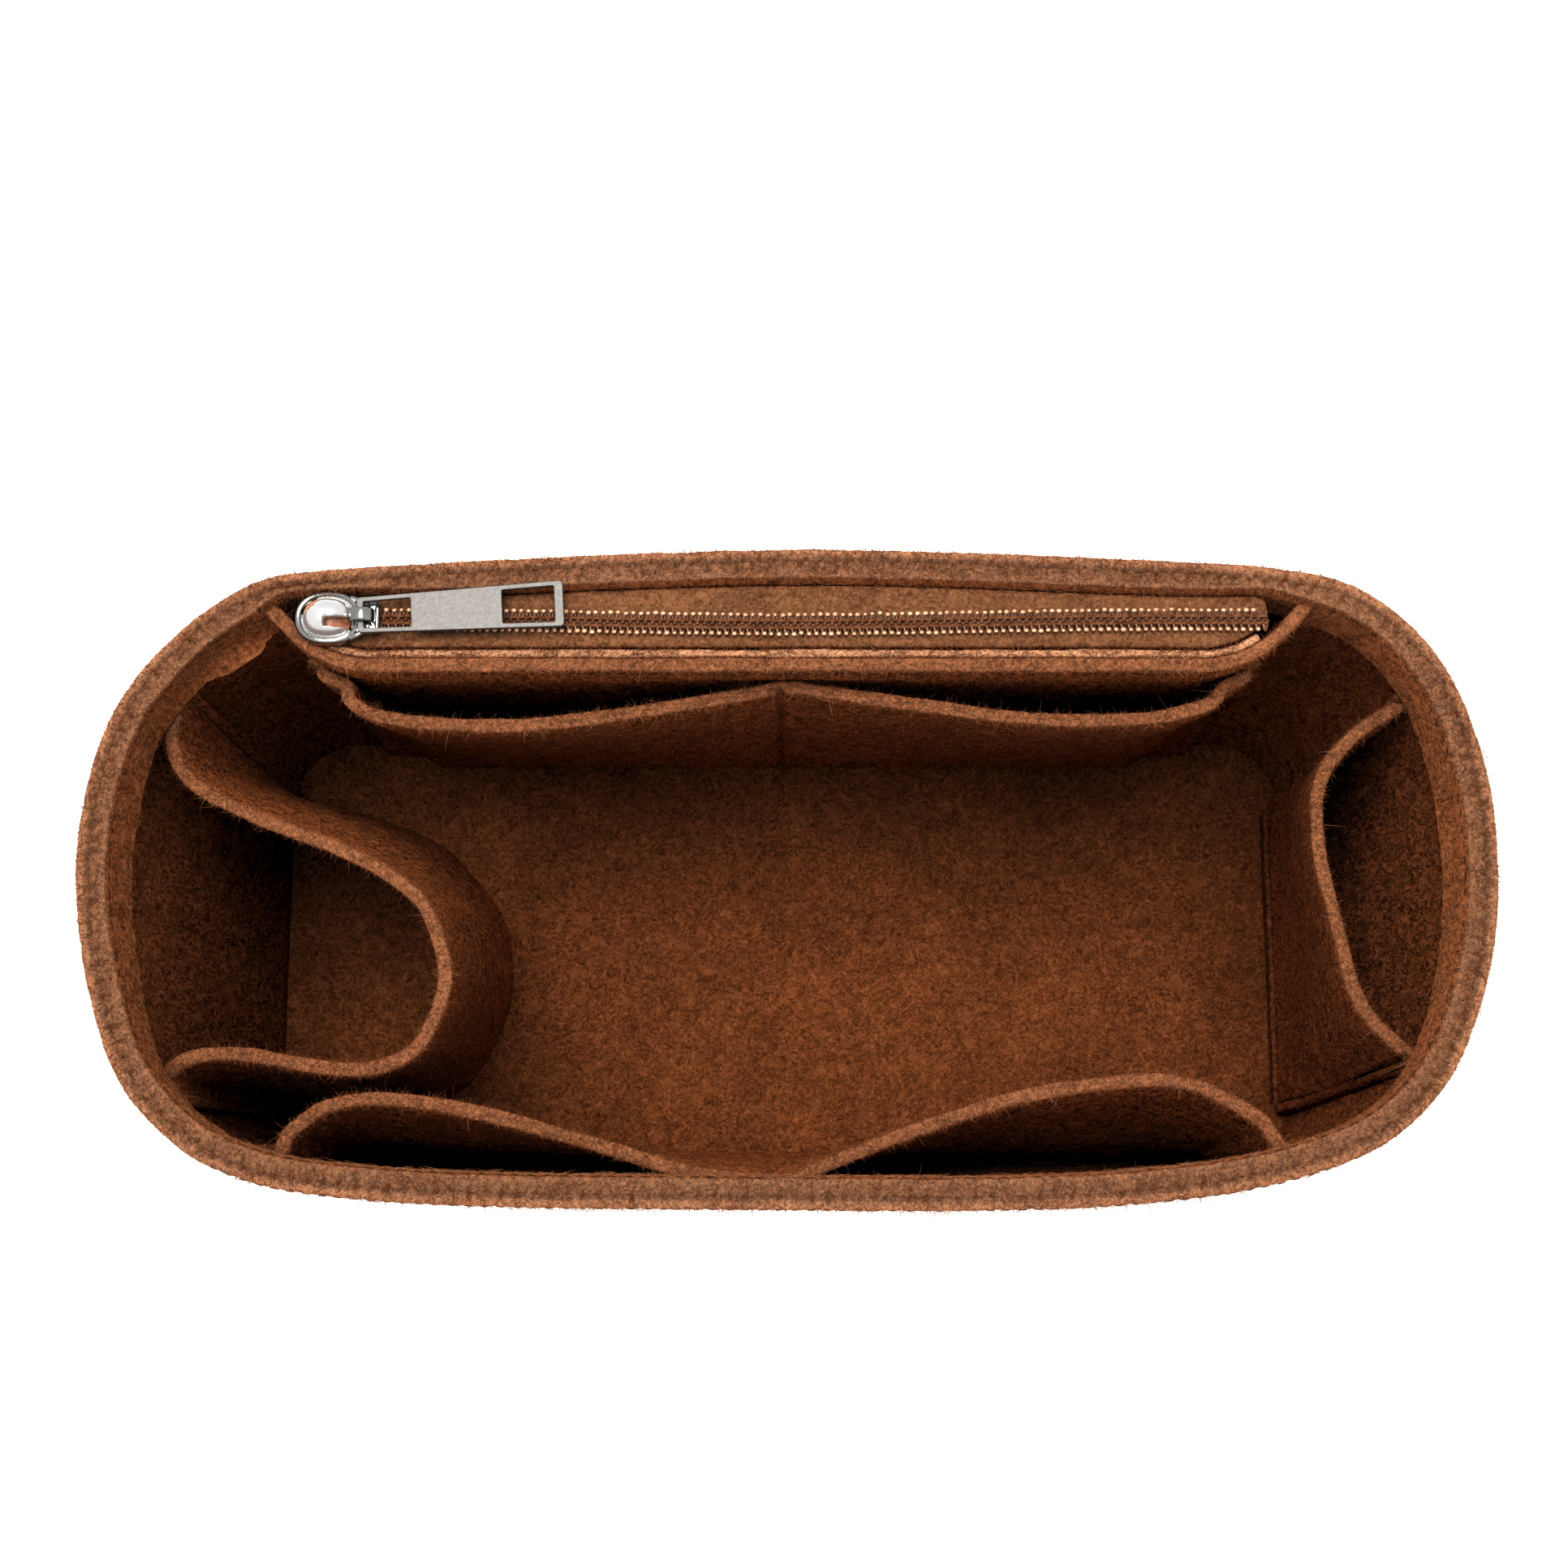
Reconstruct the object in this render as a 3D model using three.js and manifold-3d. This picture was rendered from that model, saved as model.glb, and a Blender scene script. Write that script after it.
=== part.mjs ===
// A felt purse organizer insert: an open tub with a zipped pocket along its back wall, a slip pocket panel
// on the back and on the front, a pocket on the right end wall and an upright bottle loop on the left one.
// Lengths are in millimetres. +X is right, +Y is the back and +Z is up, from the centre of the underside.
import * as THREE from "three";
import { mergeVertices } from "three/addons/utils/BufferGeometryUtils.js";
import Module from "manifold-3d";

const wasm = await Module();
wasm.setup();

// The tub
const rimLength = 260;
const rimWidth = 121.8;
const height = 140;
const endFlare = 6.6;
const sideFlare = 7.3;
const baseCornerRadius = 18;
const felt = 2.6;
const seamGap = 0.3;

// The strip that faces the rim on the inside
const facingHeight = 15;
const facingThickness = 2.6;
const facingThinnest = 0.6;

// The zipped pocket
const zipPocketEndInset = 34;
const zipPocketDepth = 20.1;
const zipPanelDrop = 3.4;
const zipFacingThickness = 1.5;
const zipFacingHeight = 12;
const zipFacingInset = 17;

// The zip
const chainFromBack = 13.1;
const chainLeftInset = 7;
const chainRightInset = 8;
const tapeThickness = 0.5;
const tapeLegHeight = 8;
const tapeInset = 9;
const coilWidth = 1.5;
const coilHeight = 1.2;
const coilGap = 1.6;
const toothPitch = 1.4;
const toothDepth = 0.45;

// The slider
const sliderOverhang = 3;
const sliderLength = 16;
const sliderNoseWidth = 10.2;
const sliderTailWidth = 8;
const sliderPlate = 1.3;
const sliderLowerNoseWidth = 5.6;
const sliderLowerInset = 2.6;
const postWidth = 1;
const postLength = 3.4;
const postInset = 3.2;
const crownWidth = 3.2;
const crownThickness = 1;
const crownNoseInset = 1.8;
const crownTailInset = 0.4;
const crownFootLength = 1.7;

// The pull
const pullLength = 38.4;
const pullThickness = 1;
const pullHingeWidth = 6.8;
const pullTipWidth = 8.8;
const pullRail = 0.9;
const pullBarLength = 1.2;
const pullNearWindow = 8.8;
const pullPlateLength = 17;
const pullTipBar = 1.7;
const pullTurnDegrees = 3.5;

// The pockets
const wallPocketDrop = 16;
const backPocketDrop = 13;
const frontPocketBulge = 17.4;
const backPocketBulge = 7.5;
const endPocketBulge = 23.9;
const loopReach = 58.7;
const loopSideInset = 22.9;

// The thread
const threadRadius = 0.3;
const rimStitchDrop = 2;
const zipStitchDrop = 3;

// How finely curves are divided
const wallStations = 72;
const threadSides = 5;

const baseLength = rimLength - 2 * endFlare;
const baseWidth = rimWidth - 2 * sideFlare;
const levelOfBase = felt + seamGap;
const wallPocketTop = height - wallPocketDrop;
const backPocketTop = height - backPocketDrop;
const loopHalfSpan = rimWidth / 2 - loopSideInset;
const zipPocketHalfLength = rimLength / 2 - zipPocketEndInset;
const zipPocketY = rimWidth / 2 - zipPocketDepth;
const zipPanelTop = height - zipPanelDrop;
const chainY = rimWidth / 2 - chainFromBack;
const chainLeftX = chainLeftInset - zipPocketHalfLength;
const chainRightX = zipPocketHalfLength - chainRightInset;
const tapeLeftX = tapeInset - zipPocketHalfLength;
const tapeRightX = zipPocketHalfLength - tapeInset;
const sliderNoseX = chainLeftX - sliderOverhang;
const facingInset = felt + seamGap;
const tapeUnderside = zipPanelTop - tapeThickness;
const coilUnderside = zipPanelTop + seamGap;
const coilTop = coilUnderside + coilHeight;
const sliderTop = coilTop + seamGap + sliderPlate;
const hingeHeight = sliderTop + seamGap + pullThickness / 2 + seamGap;
const sliderTailX = sliderNoseX + sliderLength;

// Right, back, left and front again: the rim's outline as shares of its half length and half width
const rimOutlineShares = [
  [1, 0.06], [0.984, 0.373], [0.938, 0.634], [0.873, 0.8], [0.805, 0.892], [0.715, 0.936], [0.385, 0.979],
  [0.03, 1], [-0.346, 0.975], [-0.677, 0.931], [-0.746, 0.91], [-0.812, 0.839], [-0.885, 0.708],
  [-0.962, 0.475], [-1, 0.094], [-0.978, -0.314], [-0.923, -0.629], [-0.835, -0.823], [-0.738, -0.92],
  [-0.569, -0.974], [-0.077, -1], [0.462, -0.987], [0.699, -0.911], [0.835, -0.79], [0.921, -0.601],
  [0.982, -0.276],
];

// The zip pocket panel from right to left: share of its half length, and share of its way out from the wall
const zipPanelShares = [
  [1, 0], [0.975, 0.32], [0.94, 0.64], [0.89, 0.88], [0.83, 1], [0.76, 1], [0.4, 1], [0, 1],
  [-0.4, 1], [-0.76, 1], [-0.83, 1], [-0.89, 0.88], [-0.94, 0.64], [-0.975, 0.32], [-1, 0],
];

// Pocket mouths: share of the way along the panel, and share of the deepest bulge
const backPocketShares = [
  [0, 0], [0.012, 0], [0.04, 0.42], [0.084, 0.74], [0.127, 0.84], [0.196, 0.86], [0.256, 0.77],
  [0.342, 0.5], [0.419, 0.26], [0.47, 0.08], [0.495, 0], [0.505, 0], [0.53, 0.1], [0.575, 0.3],
  [0.645, 0.57], [0.732, 0.85], [0.8, 1], [0.854, 0.99], [0.906, 0.92], [0.949, 0.74], [0.976, 0.4],
  [0.99, 0], [1, 0],
];
const frontPocketShares = [
  [0, 0], [0.02, 0], [0.045, 0.4], [0.08, 0.69], [0.12, 0.78], [0.16, 0.775], [0.22, 0.68], [0.28, 0.52],
  [0.34, 0.33], [0.4, 0.13], [0.45, 0.02], [0.48, 0], [0.505, 0], [0.54, 0.165], [0.6, 0.445],
  [0.66, 0.68], [0.72, 0.88], [0.78, 0.98], [0.845, 1], [0.89, 0.9], [0.92, 0.71], [0.95, 0.42],
  [0.98, 0], [1, 0],
];
const endPocketShares = [
  [0, 0], [0.02, 0], [0.05, 0.2], [0.085, 0.42], [0.13, 0.58], [0.2, 0.71], [0.3, 0.82], [0.42, 0.92],
  [0.52, 0.985], [0.6, 1], [0.68, 0.99], [0.76, 0.95], [0.83, 0.85], [0.885, 0.68], [0.925, 0.45],
  [0.97, 0], [1, 0],
];
const middleSeamShare = 0.5;
const frontMiddleSeamShare = 0.4925;
const edgeSeamShare = 0.012;
const endEdgeSeamShare = 0.018;

// Where each wall pocket starts and ends: shares of the way round the wall, from the right end to the back
const frontPocketSpanShares = [0.5915, 0.9];
const endPocketSpanShares = [0.939, 1.055];
const insideStitchSpanShares = [0.405, 1.095];

// The bottle loop's middle line from the back to the front: share of its reach and share of its half span
const loopTopShares = [
  [0, 1], [0, 0.92], [0.035, 0.77], [0.1, 0.6], [0.2, 0.47], [0.35, 0.36], [0.5, 0.27], [0.66, 0.18],
  [0.81, 0.07], [0.94, -0.09], [0.99, -0.29], [0.99, -0.48], [0.93, -0.67], [0.83, -0.835],
  [0.69, -0.915], [0.56, -0.92], [0.42, -0.885], [0.29, -0.85], [0.17, -0.85], [0.075, -0.89],
  [0.003, -0.97], [0.006, -1.08],
];
const loopFootShares = [
  [0, 1], [0, 0.95], [0.04, 0.9], [0.13, 0.88], [0.28, 0.84], [0.43, 0.76], [0.6, 0.63], [0.71, 0.46],
  [0.8, 0.29], [0.86, 0.1], [0.88, -0.1], [0.88, -0.26], [0.85, -0.46], [0.8, -0.64], [0.73, -0.8],
  [0.61, -0.93], [0.48, -0.98], [0.34, -0.99], [0.2, -0.985], [0.08, -0.96], [0.003, -0.98], [0.006, -1.08],
];

// How far up a pocket each row of its surface lies, and how its bulge grows on the way up
const rowShares = [0, 0.25, 0.5, 0.75, 1];
const bulgeGrowth = 1.3;

// Outlines and curves

// A point's neighbours give the way along an outline; left of that way is the inside of the tub.
function leftNormals(points, closed) {
  const last = points.length - 1;
  return points.map((point, i) => {
    const before = i > 0 ? points[i - 1] : closed ? points[last] : point;
    const after = i < last ? points[i + 1] : closed ? points[0] : point;
    const along = after.clone().sub(before).normalize();
    return new THREE.Vector2(-along.y, along.x);
  });
}

function offset(points, distances, closed = false) {
  const normals = leftNormals(points, closed);
  return points.map((point, i) => {
    const distance = Array.isArray(distances) ? distances[i] : distances;
    return point.clone().addScaledVector(normals[i], distance);
  });
}

// Gives places by their share of the way along an outline, with the left normal there.
function measured(points, closed = false) {
  const line = closed ? [...points, points[0]] : points;
  const lengths = [0];
  for (let i = 1; i < line.length; i++) lengths.push(lengths[i - 1] + line[i].distanceTo(line[i - 1]));
  const total = lengths[lengths.length - 1];
  return (share) => {
    const wanted = (closed ? share - Math.floor(share) : Math.min(Math.max(share, 0), 1)) * total;
    let i = 1;
    while (i < line.length - 1 && lengths[i] < wanted) i++;
    const along = (wanted - lengths[i - 1]) / (lengths[i] - lengths[i - 1]);
    const way = line[i].clone().sub(line[i - 1]).normalize();
    return {
      point: line[i - 1].clone().lerp(line[i], along),
      normal: new THREE.Vector2(-way.y, way.x),
    };
  };
}

function flat(points) {
  return points.map((point) => new THREE.Vector2(point.x, point.y));
}

function smooth(pairs, count) {
  const curve = new THREE.CatmullRomCurve3(
    pairs.map(([x, y]) => new THREE.Vector3(x, y, 0)), false, "centripetal",
  );
  return flat(curve.getSpacedPoints(count));
}

function rimOutline() {
  const curve = new THREE.CatmullRomCurve3(
    rimOutlineShares.map(([x, y]) => new THREE.Vector3(x, y, 0)), true, "centripetal",
  );
  curve.points.forEach((point) => point.multiply(new THREE.Vector3(rimLength / 2, rimWidth / 2, 1)));
  const points = flat(curve.getSpacedPoints(wallStations).slice(0, wallStations));
  const box = new THREE.Box2().setFromPoints(points);
  const middle = box.getCenter(new THREE.Vector2());
  const size = box.getSize(new THREE.Vector2());
  const fit = new THREE.Vector2(rimLength / size.x, rimWidth / size.y);
  return points.map((point) => point.sub(middle).multiply(fit));
}

function baseOutline() {
  const path = new THREE.Path();
  const x = baseLength / 2 - baseCornerRadius;
  const y = baseWidth / 2 - baseCornerRadius;
  const quarter = Math.PI / 2;
  path.moveTo(baseLength / 2, 0);
  path.lineTo(baseLength / 2, y);
  path.absarc(x, y, baseCornerRadius, 0, quarter);
  path.absarc(-x, y, baseCornerRadius, quarter, 2 * quarter);
  path.absarc(-x, -y, baseCornerRadius, 2 * quarter, 3 * quarter);
  path.absarc(x, -y, baseCornerRadius, 3 * quarter, 4 * quarter);
  path.lineTo(baseLength / 2, 0);
  return flat(path.getSpacedPoints(wallStations).slice(0, wallStations));
}

const rim = rimOutline();
const base = baseOutline();

// The wall's outline at a height, drawn in by an inset.
function wallOutline(z, inset) {
  return offset(base.map((point, i) => point.clone().lerp(rim[i], z / height)), inset, true);
}

// The rim facing is pressed thinner beside the zip, where the slider runs.
const rimInsets = rim.map((point) => {
  const room = point.y - facingInset - chainY - sliderNoseWidth / 2 - seamGap;
  const beside = point.y > 0 && Math.abs(point.x) < zipPocketHalfLength;
  const thickness = beside ? Math.min(Math.max(room, facingThinnest), facingThickness) : facingThickness;
  return facingInset + thickness;
});

// The rim facing's inner face at a height, drawn in by a further distance.
function facingFace(z, distance) {
  return wallOutline(z, rimInsets.map((inset) => inset + distance));
}

// Where a line across the tub meets an outline: the way is +1 or -1 along the axis that is looked along.
function across(points, place, axis, way) {
  const other = axis === "x" ? "y" : "x";
  let found = 0;
  points.forEach((a, i) => {
    const b = points[(i + 1) % points.length];
    if ((a[other] - place) * (b[other] - place) > 0 || a[other] === b[other]) return;
    const value = a[axis] + ((b[axis] - a[axis]) * (place - a[other])) / (b[other] - a[other]);
    if (value * way > found * way) found = value;
  });
  return found;
}

// Solids

function solid(corners, triangles) {
  const geometry = new THREE.BufferGeometry();
  let volume = 0;
  for (const [a, b, c] of triangles)
    volume += corners[a].dot(new THREE.Vector3().crossVectors(corners[b], corners[c]));
  const index = triangles.flatMap(([a, b, c]) => (volume < 0 ? [a, c, b] : [a, b, c]));
  geometry.setAttribute("position", new THREE.Float32BufferAttribute(corners.flatMap((p) => p.toArray()), 3));
  geometry.setIndex(index);
  return geometry;
}

// Joins a row of matching loops into one skin: closed into a ring, or capped at both ends.
function skin(loops, closed) {
  const size = loops[0].length;
  const corners = loops.flat();
  const triangles = [];
  const quad = (a, b, c, d) => triangles.push([a, b, c], [a, c, d]);
  const last = closed ? loops.length : loops.length - 1;
  for (let j = 0; j < last; j++) {
    const here = j * size;
    const next = ((j + 1) % loops.length) * size;
    for (let i = 0; i < size; i++) {
      const after = (i + 1) % size;
      quad(here + i, here + after, next + after, next + i);
    }
  }
  if (!closed) {
    for (const [start, turned] of [[0, true], [(loops.length - 1) * size, false]]) {
      for (let i = 0; i < size / 2 - 1; i++) {
        const four = [start + i, start + i + 1, start + size - 2 - i, start + size - 1 - i];
        quad(...(turned ? four.reverse() : four));
      }
    }
  }
  return solid(corners, triangles);
}

function raised(point, z) {
  return new THREE.Vector3(point.x, point.y, z);
}

// A band that runs all the way round the wall, between two insets, through the given heights.
function wallBand(heights, outerInset, innerInset) {
  const outer = heights.map((z) => wallOutline(z, outerInset).map((p) => raised(p, z)));
  const inner = heights.map((z) => wallOutline(z, innerInset).map((p) => raised(p, z)));
  return skin([...outer, ...inner.reverse()], true);
}

// A sheet of felt between two faces, each given as one row of points for every height.
function sheet(heights, near, far) {
  const columns = near[0].map((_, i) => {
    const up = heights.map((z, k) => raised(near[k][i], z));
    const down = heights.map((z, k) => raised(far[k][i], z)).reverse();
    return [...up, ...down];
  });
  return skin(columns, false);
}

function toManifold(geometry) {
  const bare = geometry.clone();
  bare.deleteAttribute("normal");
  bare.deleteAttribute("uv");
  const merged = mergeVertices(bare);
  return new wasm.Manifold(
    new wasm.Mesh({
      numProp: 3,
      vertProperties: new Float32Array(merged.attributes.position.array),
      triVerts: new Uint32Array(merged.index.array),
    }),
  );
}

function fromManifold(body) {
  const mesh = body.getMesh();
  const geometry = new THREE.BufferGeometry();
  geometry.setAttribute("position", new THREE.BufferAttribute(mesh.vertProperties, 3));
  geometry.setIndex(new THREE.BufferAttribute(mesh.triVerts, 1));
  return geometry;
}

function joined(...geometries) {
  const bodies = geometries.map(toManifold);
  return fromManifold(bodies.reduce((a, b) => a.add(b)));
}

// A flat plate of a plan outline between two heights.
function plate(outline, bottom, top, holes = []) {
  const shape = new THREE.Shape(outline);
  shape.holes = holes.map((hole) => new THREE.Path(hole));
  const geometry = new THREE.ExtrudeGeometry(shape, { depth: top - bottom, bevelEnabled: false });
  return geometry.translate(0, 0, bottom);
}

function box(lowX, lowY, lowZ, highX, highY, highZ) {
  const geometry = new THREE.BoxGeometry(highX - lowX, highY - lowY, highZ - lowZ);
  return geometry.translate((lowX + highX) / 2, (lowY + highY) / 2, (lowZ + highZ) / 2);
}

// A length of thread along a line of points.
function thread(points, steps) {
  const section = new THREE.Shape(
    Array.from({ length: threadSides }, (_, i) => {
      const turn = (2 * Math.PI * i) / threadSides;
      return new THREE.Vector2(threadRadius * Math.cos(turn), threadRadius * Math.sin(turn));
    }),
  );
  const path = new THREE.CatmullRomCurve3(points, false, "centripetal");
  return new THREE.ExtrudeGeometry(section, { steps, extrudePath: path, bevelEnabled: false });
}

// How much of its full bulge a pocket has at one of its heights.
function growthAt(heights, k) {
  const bottom = heights[0];
  const top = heights[heights.length - 1];
  return ((heights[k] - bottom) / (top - bottom)) ** bulgeGrowth;
}

// A pocket panel on the wall, with the rows of its outer face for its thread.
function wallPocket({ span, shares, bulge, columns }) {
  const heights = wallPocketHeights;
  const profile = smooth(shares, columns);
  const near = heights.map((z, k) => {
    const place = measured(wallOutline(z, felt), true);
    const growth = growthAt(heights, k);
    return profile.map(({ x: along, y: out }) => {
      const { point, normal } = place(THREE.MathUtils.lerp(span[0], span[1], along));
      return point.clone().addScaledVector(normal, seamGap + Math.max(out, 0) * bulge * growth);
    });
  });
  const far = near.map((row) => offset(row, felt));
  return { geometry: sheet(heights, near, far), heights, far };
}

// A seam down a pocket's outside at a share of its width.
function seamDown(panel, share) {
  const points = panel.heights.map((z, k) => {
    const { point, normal } = measured(panel.far[k])(share);
    return raised(point.clone().addScaledVector(normal, seamGap + threadRadius), z);
  });
  points[0].z += threadRadius;
  points[points.length - 1].z -= threadRadius;
  return thread(points, points.length * 2);
}

// Materials
const feltMaterial = { color: 0x7a4a2c, roughness: 0.95, metalness: 0 };
const tapeMaterial = { color: 0x6e4227, roughness: 0.85, metalness: 0 };
const coilMaterial = { color: 0x9c6a48, roughness: 0.45, metalness: 0 };
const metalMaterial = { color: 0xb9b7b2, roughness: 0.25, metalness: 1 };
const threadMaterial = { color: 0x5a3520, roughness: 0.8, metalness: 0 };

function piece(name, geometry, material) {
  const mesh = new THREE.Mesh(geometry, new THREE.MeshStandardMaterial(material));
  mesh.name = name;
  return mesh;
}

// The tub

function basePanel() {
  return plate(wallOutline(0, 0), 0, felt);
}

function wallBody() {
  return wallBand([levelOfBase, height / 2, height - facingHeight, height], 0, felt);
}

function rimFacing() {
  return wallBand([height - facingHeight, height], facingInset, rimInsets);
}

const rimStitchHeight = height - rimStitchDrop;

function rimThreadOutside() {
  const heights = [rimStitchHeight - threadRadius, rimStitchHeight + threadRadius];
  return wallBand(heights, -seamGap - 2 * threadRadius, -seamGap);
}

// On the inside the stitches show from one end of the zip pocket round the front to its other end.
function rimThreadInside() {
  const place = measured(facingFace(rimStitchHeight, 0), true);
  const [start, end] = insideStitchSpanShares;
  const points = Array.from({ length: wallStations }, (_, i) => {
    const { point, normal } = place(THREE.MathUtils.lerp(start, end, i / (wallStations - 1)));
    return raised(point.clone().addScaledVector(normal, seamGap + threadRadius), rimStitchHeight);
  });
  return thread(points, wallStations);
}

function baseThread() {
  const z = felt + seamGap / 2;
  const near = -seamGap;
  return wallBand([z - threadRadius, z + threadRadius], near - 2 * threadRadius, near);
}

// The zipped pocket

const facingUnderside = height - facingHeight;
const zipPanelColumns = 66;
const backPocketSkippedColumns = 4;
const zipHeights = [
  levelOfBase,
  height / 3,
  (2 * height) / 3,
  facingUnderside - 2 * seamGap,
  facingUnderside - seamGap,
  backPocketTop,
  zipPanelTop,
];

function panelMiddleY(z) {
  const footY = baseWidth / 2 - felt - seamGap;
  return THREE.MathUtils.lerp(footY, zipPocketY, (z - levelOfBase) / (zipPanelTop - levelOfBase));
}

// The panel's rear face at a height, from its right end to its left end.
function zipPanelRear(z) {
  const middleY = panelMiddleY(z);
  const besideFacing = z > facingUnderside - 1.5 * seamGap;
  const wall = besideFacing ? facingFace(z, seamGap) : wallOutline(z, felt + seamGap);
  const pairs = zipPanelShares.map(([along, out]) => {
    const x = along * zipPocketHalfLength;
    return [x, THREE.MathUtils.lerp(across(wall, x, "y", 1), middleY, out)];
  });
  return smooth(pairs, zipPanelColumns);
}

function zipPanelFront(z) {
  return offset(zipPanelRear(z), felt);
}

function zipPocketPanel() {
  return sheet(zipHeights, zipHeights.map(zipPanelRear), zipHeights.map(zipPanelFront));
}

// The slip pocket on the zip panel follows the panel column by column, short of both its ends.
function backSlipPocket() {
  const heights = zipHeights.filter((z) => z <= backPocketTop);
  const bulgeShare = new THREE.CubicInterpolant(
    backPocketShares.map(([along]) => along), backPocketShares.map(([, out]) => out), 1,
  );
  const rows = heights.map((z) =>
    zipPanelFront(z).slice(backPocketSkippedColumns, -backPocketSkippedColumns),
  );
  const near = rows.map((row, k) => {
    const bulge = backPocketBulge * growthAt(heights, k);
    return offset(
      row,
      row.map((_, i) => seamGap + bulge * Math.max(bulgeShare.evaluate(i / (row.length - 1))[0], 0)),
    );
  });
  const far = near.map((row) => offset(row, felt));
  return { geometry: sheet(heights, far, near), heights, far };
}

const backPocket = backSlipPocket();

// The middle of the panel is straight: what is sewn to it there runs from side to side at one place.
const seamHalf = zipPocketHalfLength - zipFacingInset;

function straightRow(y) {
  return [new THREE.Vector2(seamHalf, y), new THREE.Vector2(-seamHalf, y)];
}

function zipFacing() {
  const heights = [zipPanelTop - zipFacingHeight, zipPanelTop];
  const near = heights.map((z) => straightRow(panelMiddleY(z) + seamGap + zipFacingThickness));
  const far = heights.map((z) => straightRow(panelMiddleY(z) + seamGap));
  return sheet(heights, near, far);
}

function zipThread() {
  const z = zipPanelTop - zipStitchDrop;
  const y = panelMiddleY(z) - felt - seamGap - threadRadius;
  return thread(straightRow(y).map((point) => raised(point, z)), 1);
}

// The zip

// The front tape's leg lies on the zip facing, which leans with the panel.
function frontLegY(z) {
  return panelMiddleY(z) + 2 * seamGap + zipFacingThickness;
}

// The rear tape's edge follows the rim facing.
function rearTapeEdge(z, distance) {
  const wall = facingFace(z, seamGap + distance);
  const places = [0, 0.125, 0.25, 0.375, 0.5, 0.625, 0.75, 0.875, 1].map((share) =>
    THREE.MathUtils.lerp(tapeRightX, tapeLeftX, share),
  );
  return places.map((x) => new THREE.Vector2(x, across(wall, x, "y", 1)));
}

function rearTape() {
  const legFoot = zipPanelTop - tapeLegHeight;
  const heights = [legFoot, zipPanelTop];
  const leg = sheet(
    heights,
    heights.map((z) => rearTapeEdge(z, 0)),
    heights.map((z) => rearTapeEdge(z, tapeThickness)),
  );
  const inner = chainY + coilGap / 2;
  const outline = [
    new THREE.Vector2(tapeLeftX, inner),
    new THREE.Vector2(tapeRightX, inner),
    ...rearTapeEdge(zipPanelTop, tapeThickness / 2),
  ];
  return joined(leg, plate(outline, tapeUnderside, zipPanelTop));
}

function frontTape() {
  const inner = chainY - coilGap / 2;
  const heights = [zipPanelTop - tapeLegHeight, zipPanelTop];
  const leg = sheet(
    heights,
    heights.map((z) => straightRow(frontLegY(z) + tapeThickness)),
    heights.map((z) => straightRow(frontLegY(z))),
  );
  const edge = frontLegY(zipPanelTop) + tapeThickness / 2;
  return joined(leg, box(tapeLeftX, edge, tapeUnderside, tapeRightX, inner, zipPanelTop));
}

// A row of coil turns, seen from above as a row of teeth that point to the other row.
function coil(side) {
  const near = chainY + (side * coilGap) / 2;
  const far = near + side * coilWidth;
  const teeth = Math.floor((chainRightX - chainLeftX) / toothPitch);
  const shift = side > 0 ? 0 : toothPitch / 2;
  const outline = [new THREE.Vector2(chainLeftX, far), new THREE.Vector2(chainRightX, far)];
  for (let i = teeth - 1; i >= 0; i--) {
    const x = chainLeftX + i * toothPitch + shift;
    outline.push(new THREE.Vector2(x + toothPitch / 2, near));
    outline.push(new THREE.Vector2(x, near + side * toothDepth));
  }
  if (side < 0) outline.push(new THREE.Vector2(chainLeftX, near + side * toothDepth));
  else outline.reverse();
  return plate(outline, coilUnderside, coilTop);
}

function tapeThreadRear() {
  const z = zipPanelTop - tapeLegHeight / 2;
  const line = rearTapeEdge(z, tapeThickness + seamGap + threadRadius);
  return thread(line.map((point) => raised(point, z)), line.length);
}

// The slider

// A plate that is round at its nose and narrows to its tail, symmetrical about the chain.
function sliderOutline(noseX, noseWidth, tailX, tailWidth) {
  const nose = noseWidth / 2;
  const tail = tailWidth / 2;
  const shape = new THREE.Shape();
  shape.moveTo(tailX, chainY - tail);
  shape.lineTo(tailX, chainY + tail);
  shape.quadraticCurveTo(noseX + 2 * nose, chainY + tail, noseX + nose, chainY + nose);
  shape.bezierCurveTo(
    noseX + nose / 3, chainY + nose, noseX, chainY + nose / 2, noseX, chainY,
  );
  shape.bezierCurveTo(
    noseX, chainY - nose / 2, noseX + nose / 3, chainY - nose, noseX + nose, chainY - nose,
  );
  shape.quadraticCurveTo(noseX + 2 * nose, chainY - tail, tailX, chainY - tail);
  return shape.getPoints(6).slice(0, -1);
}

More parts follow.
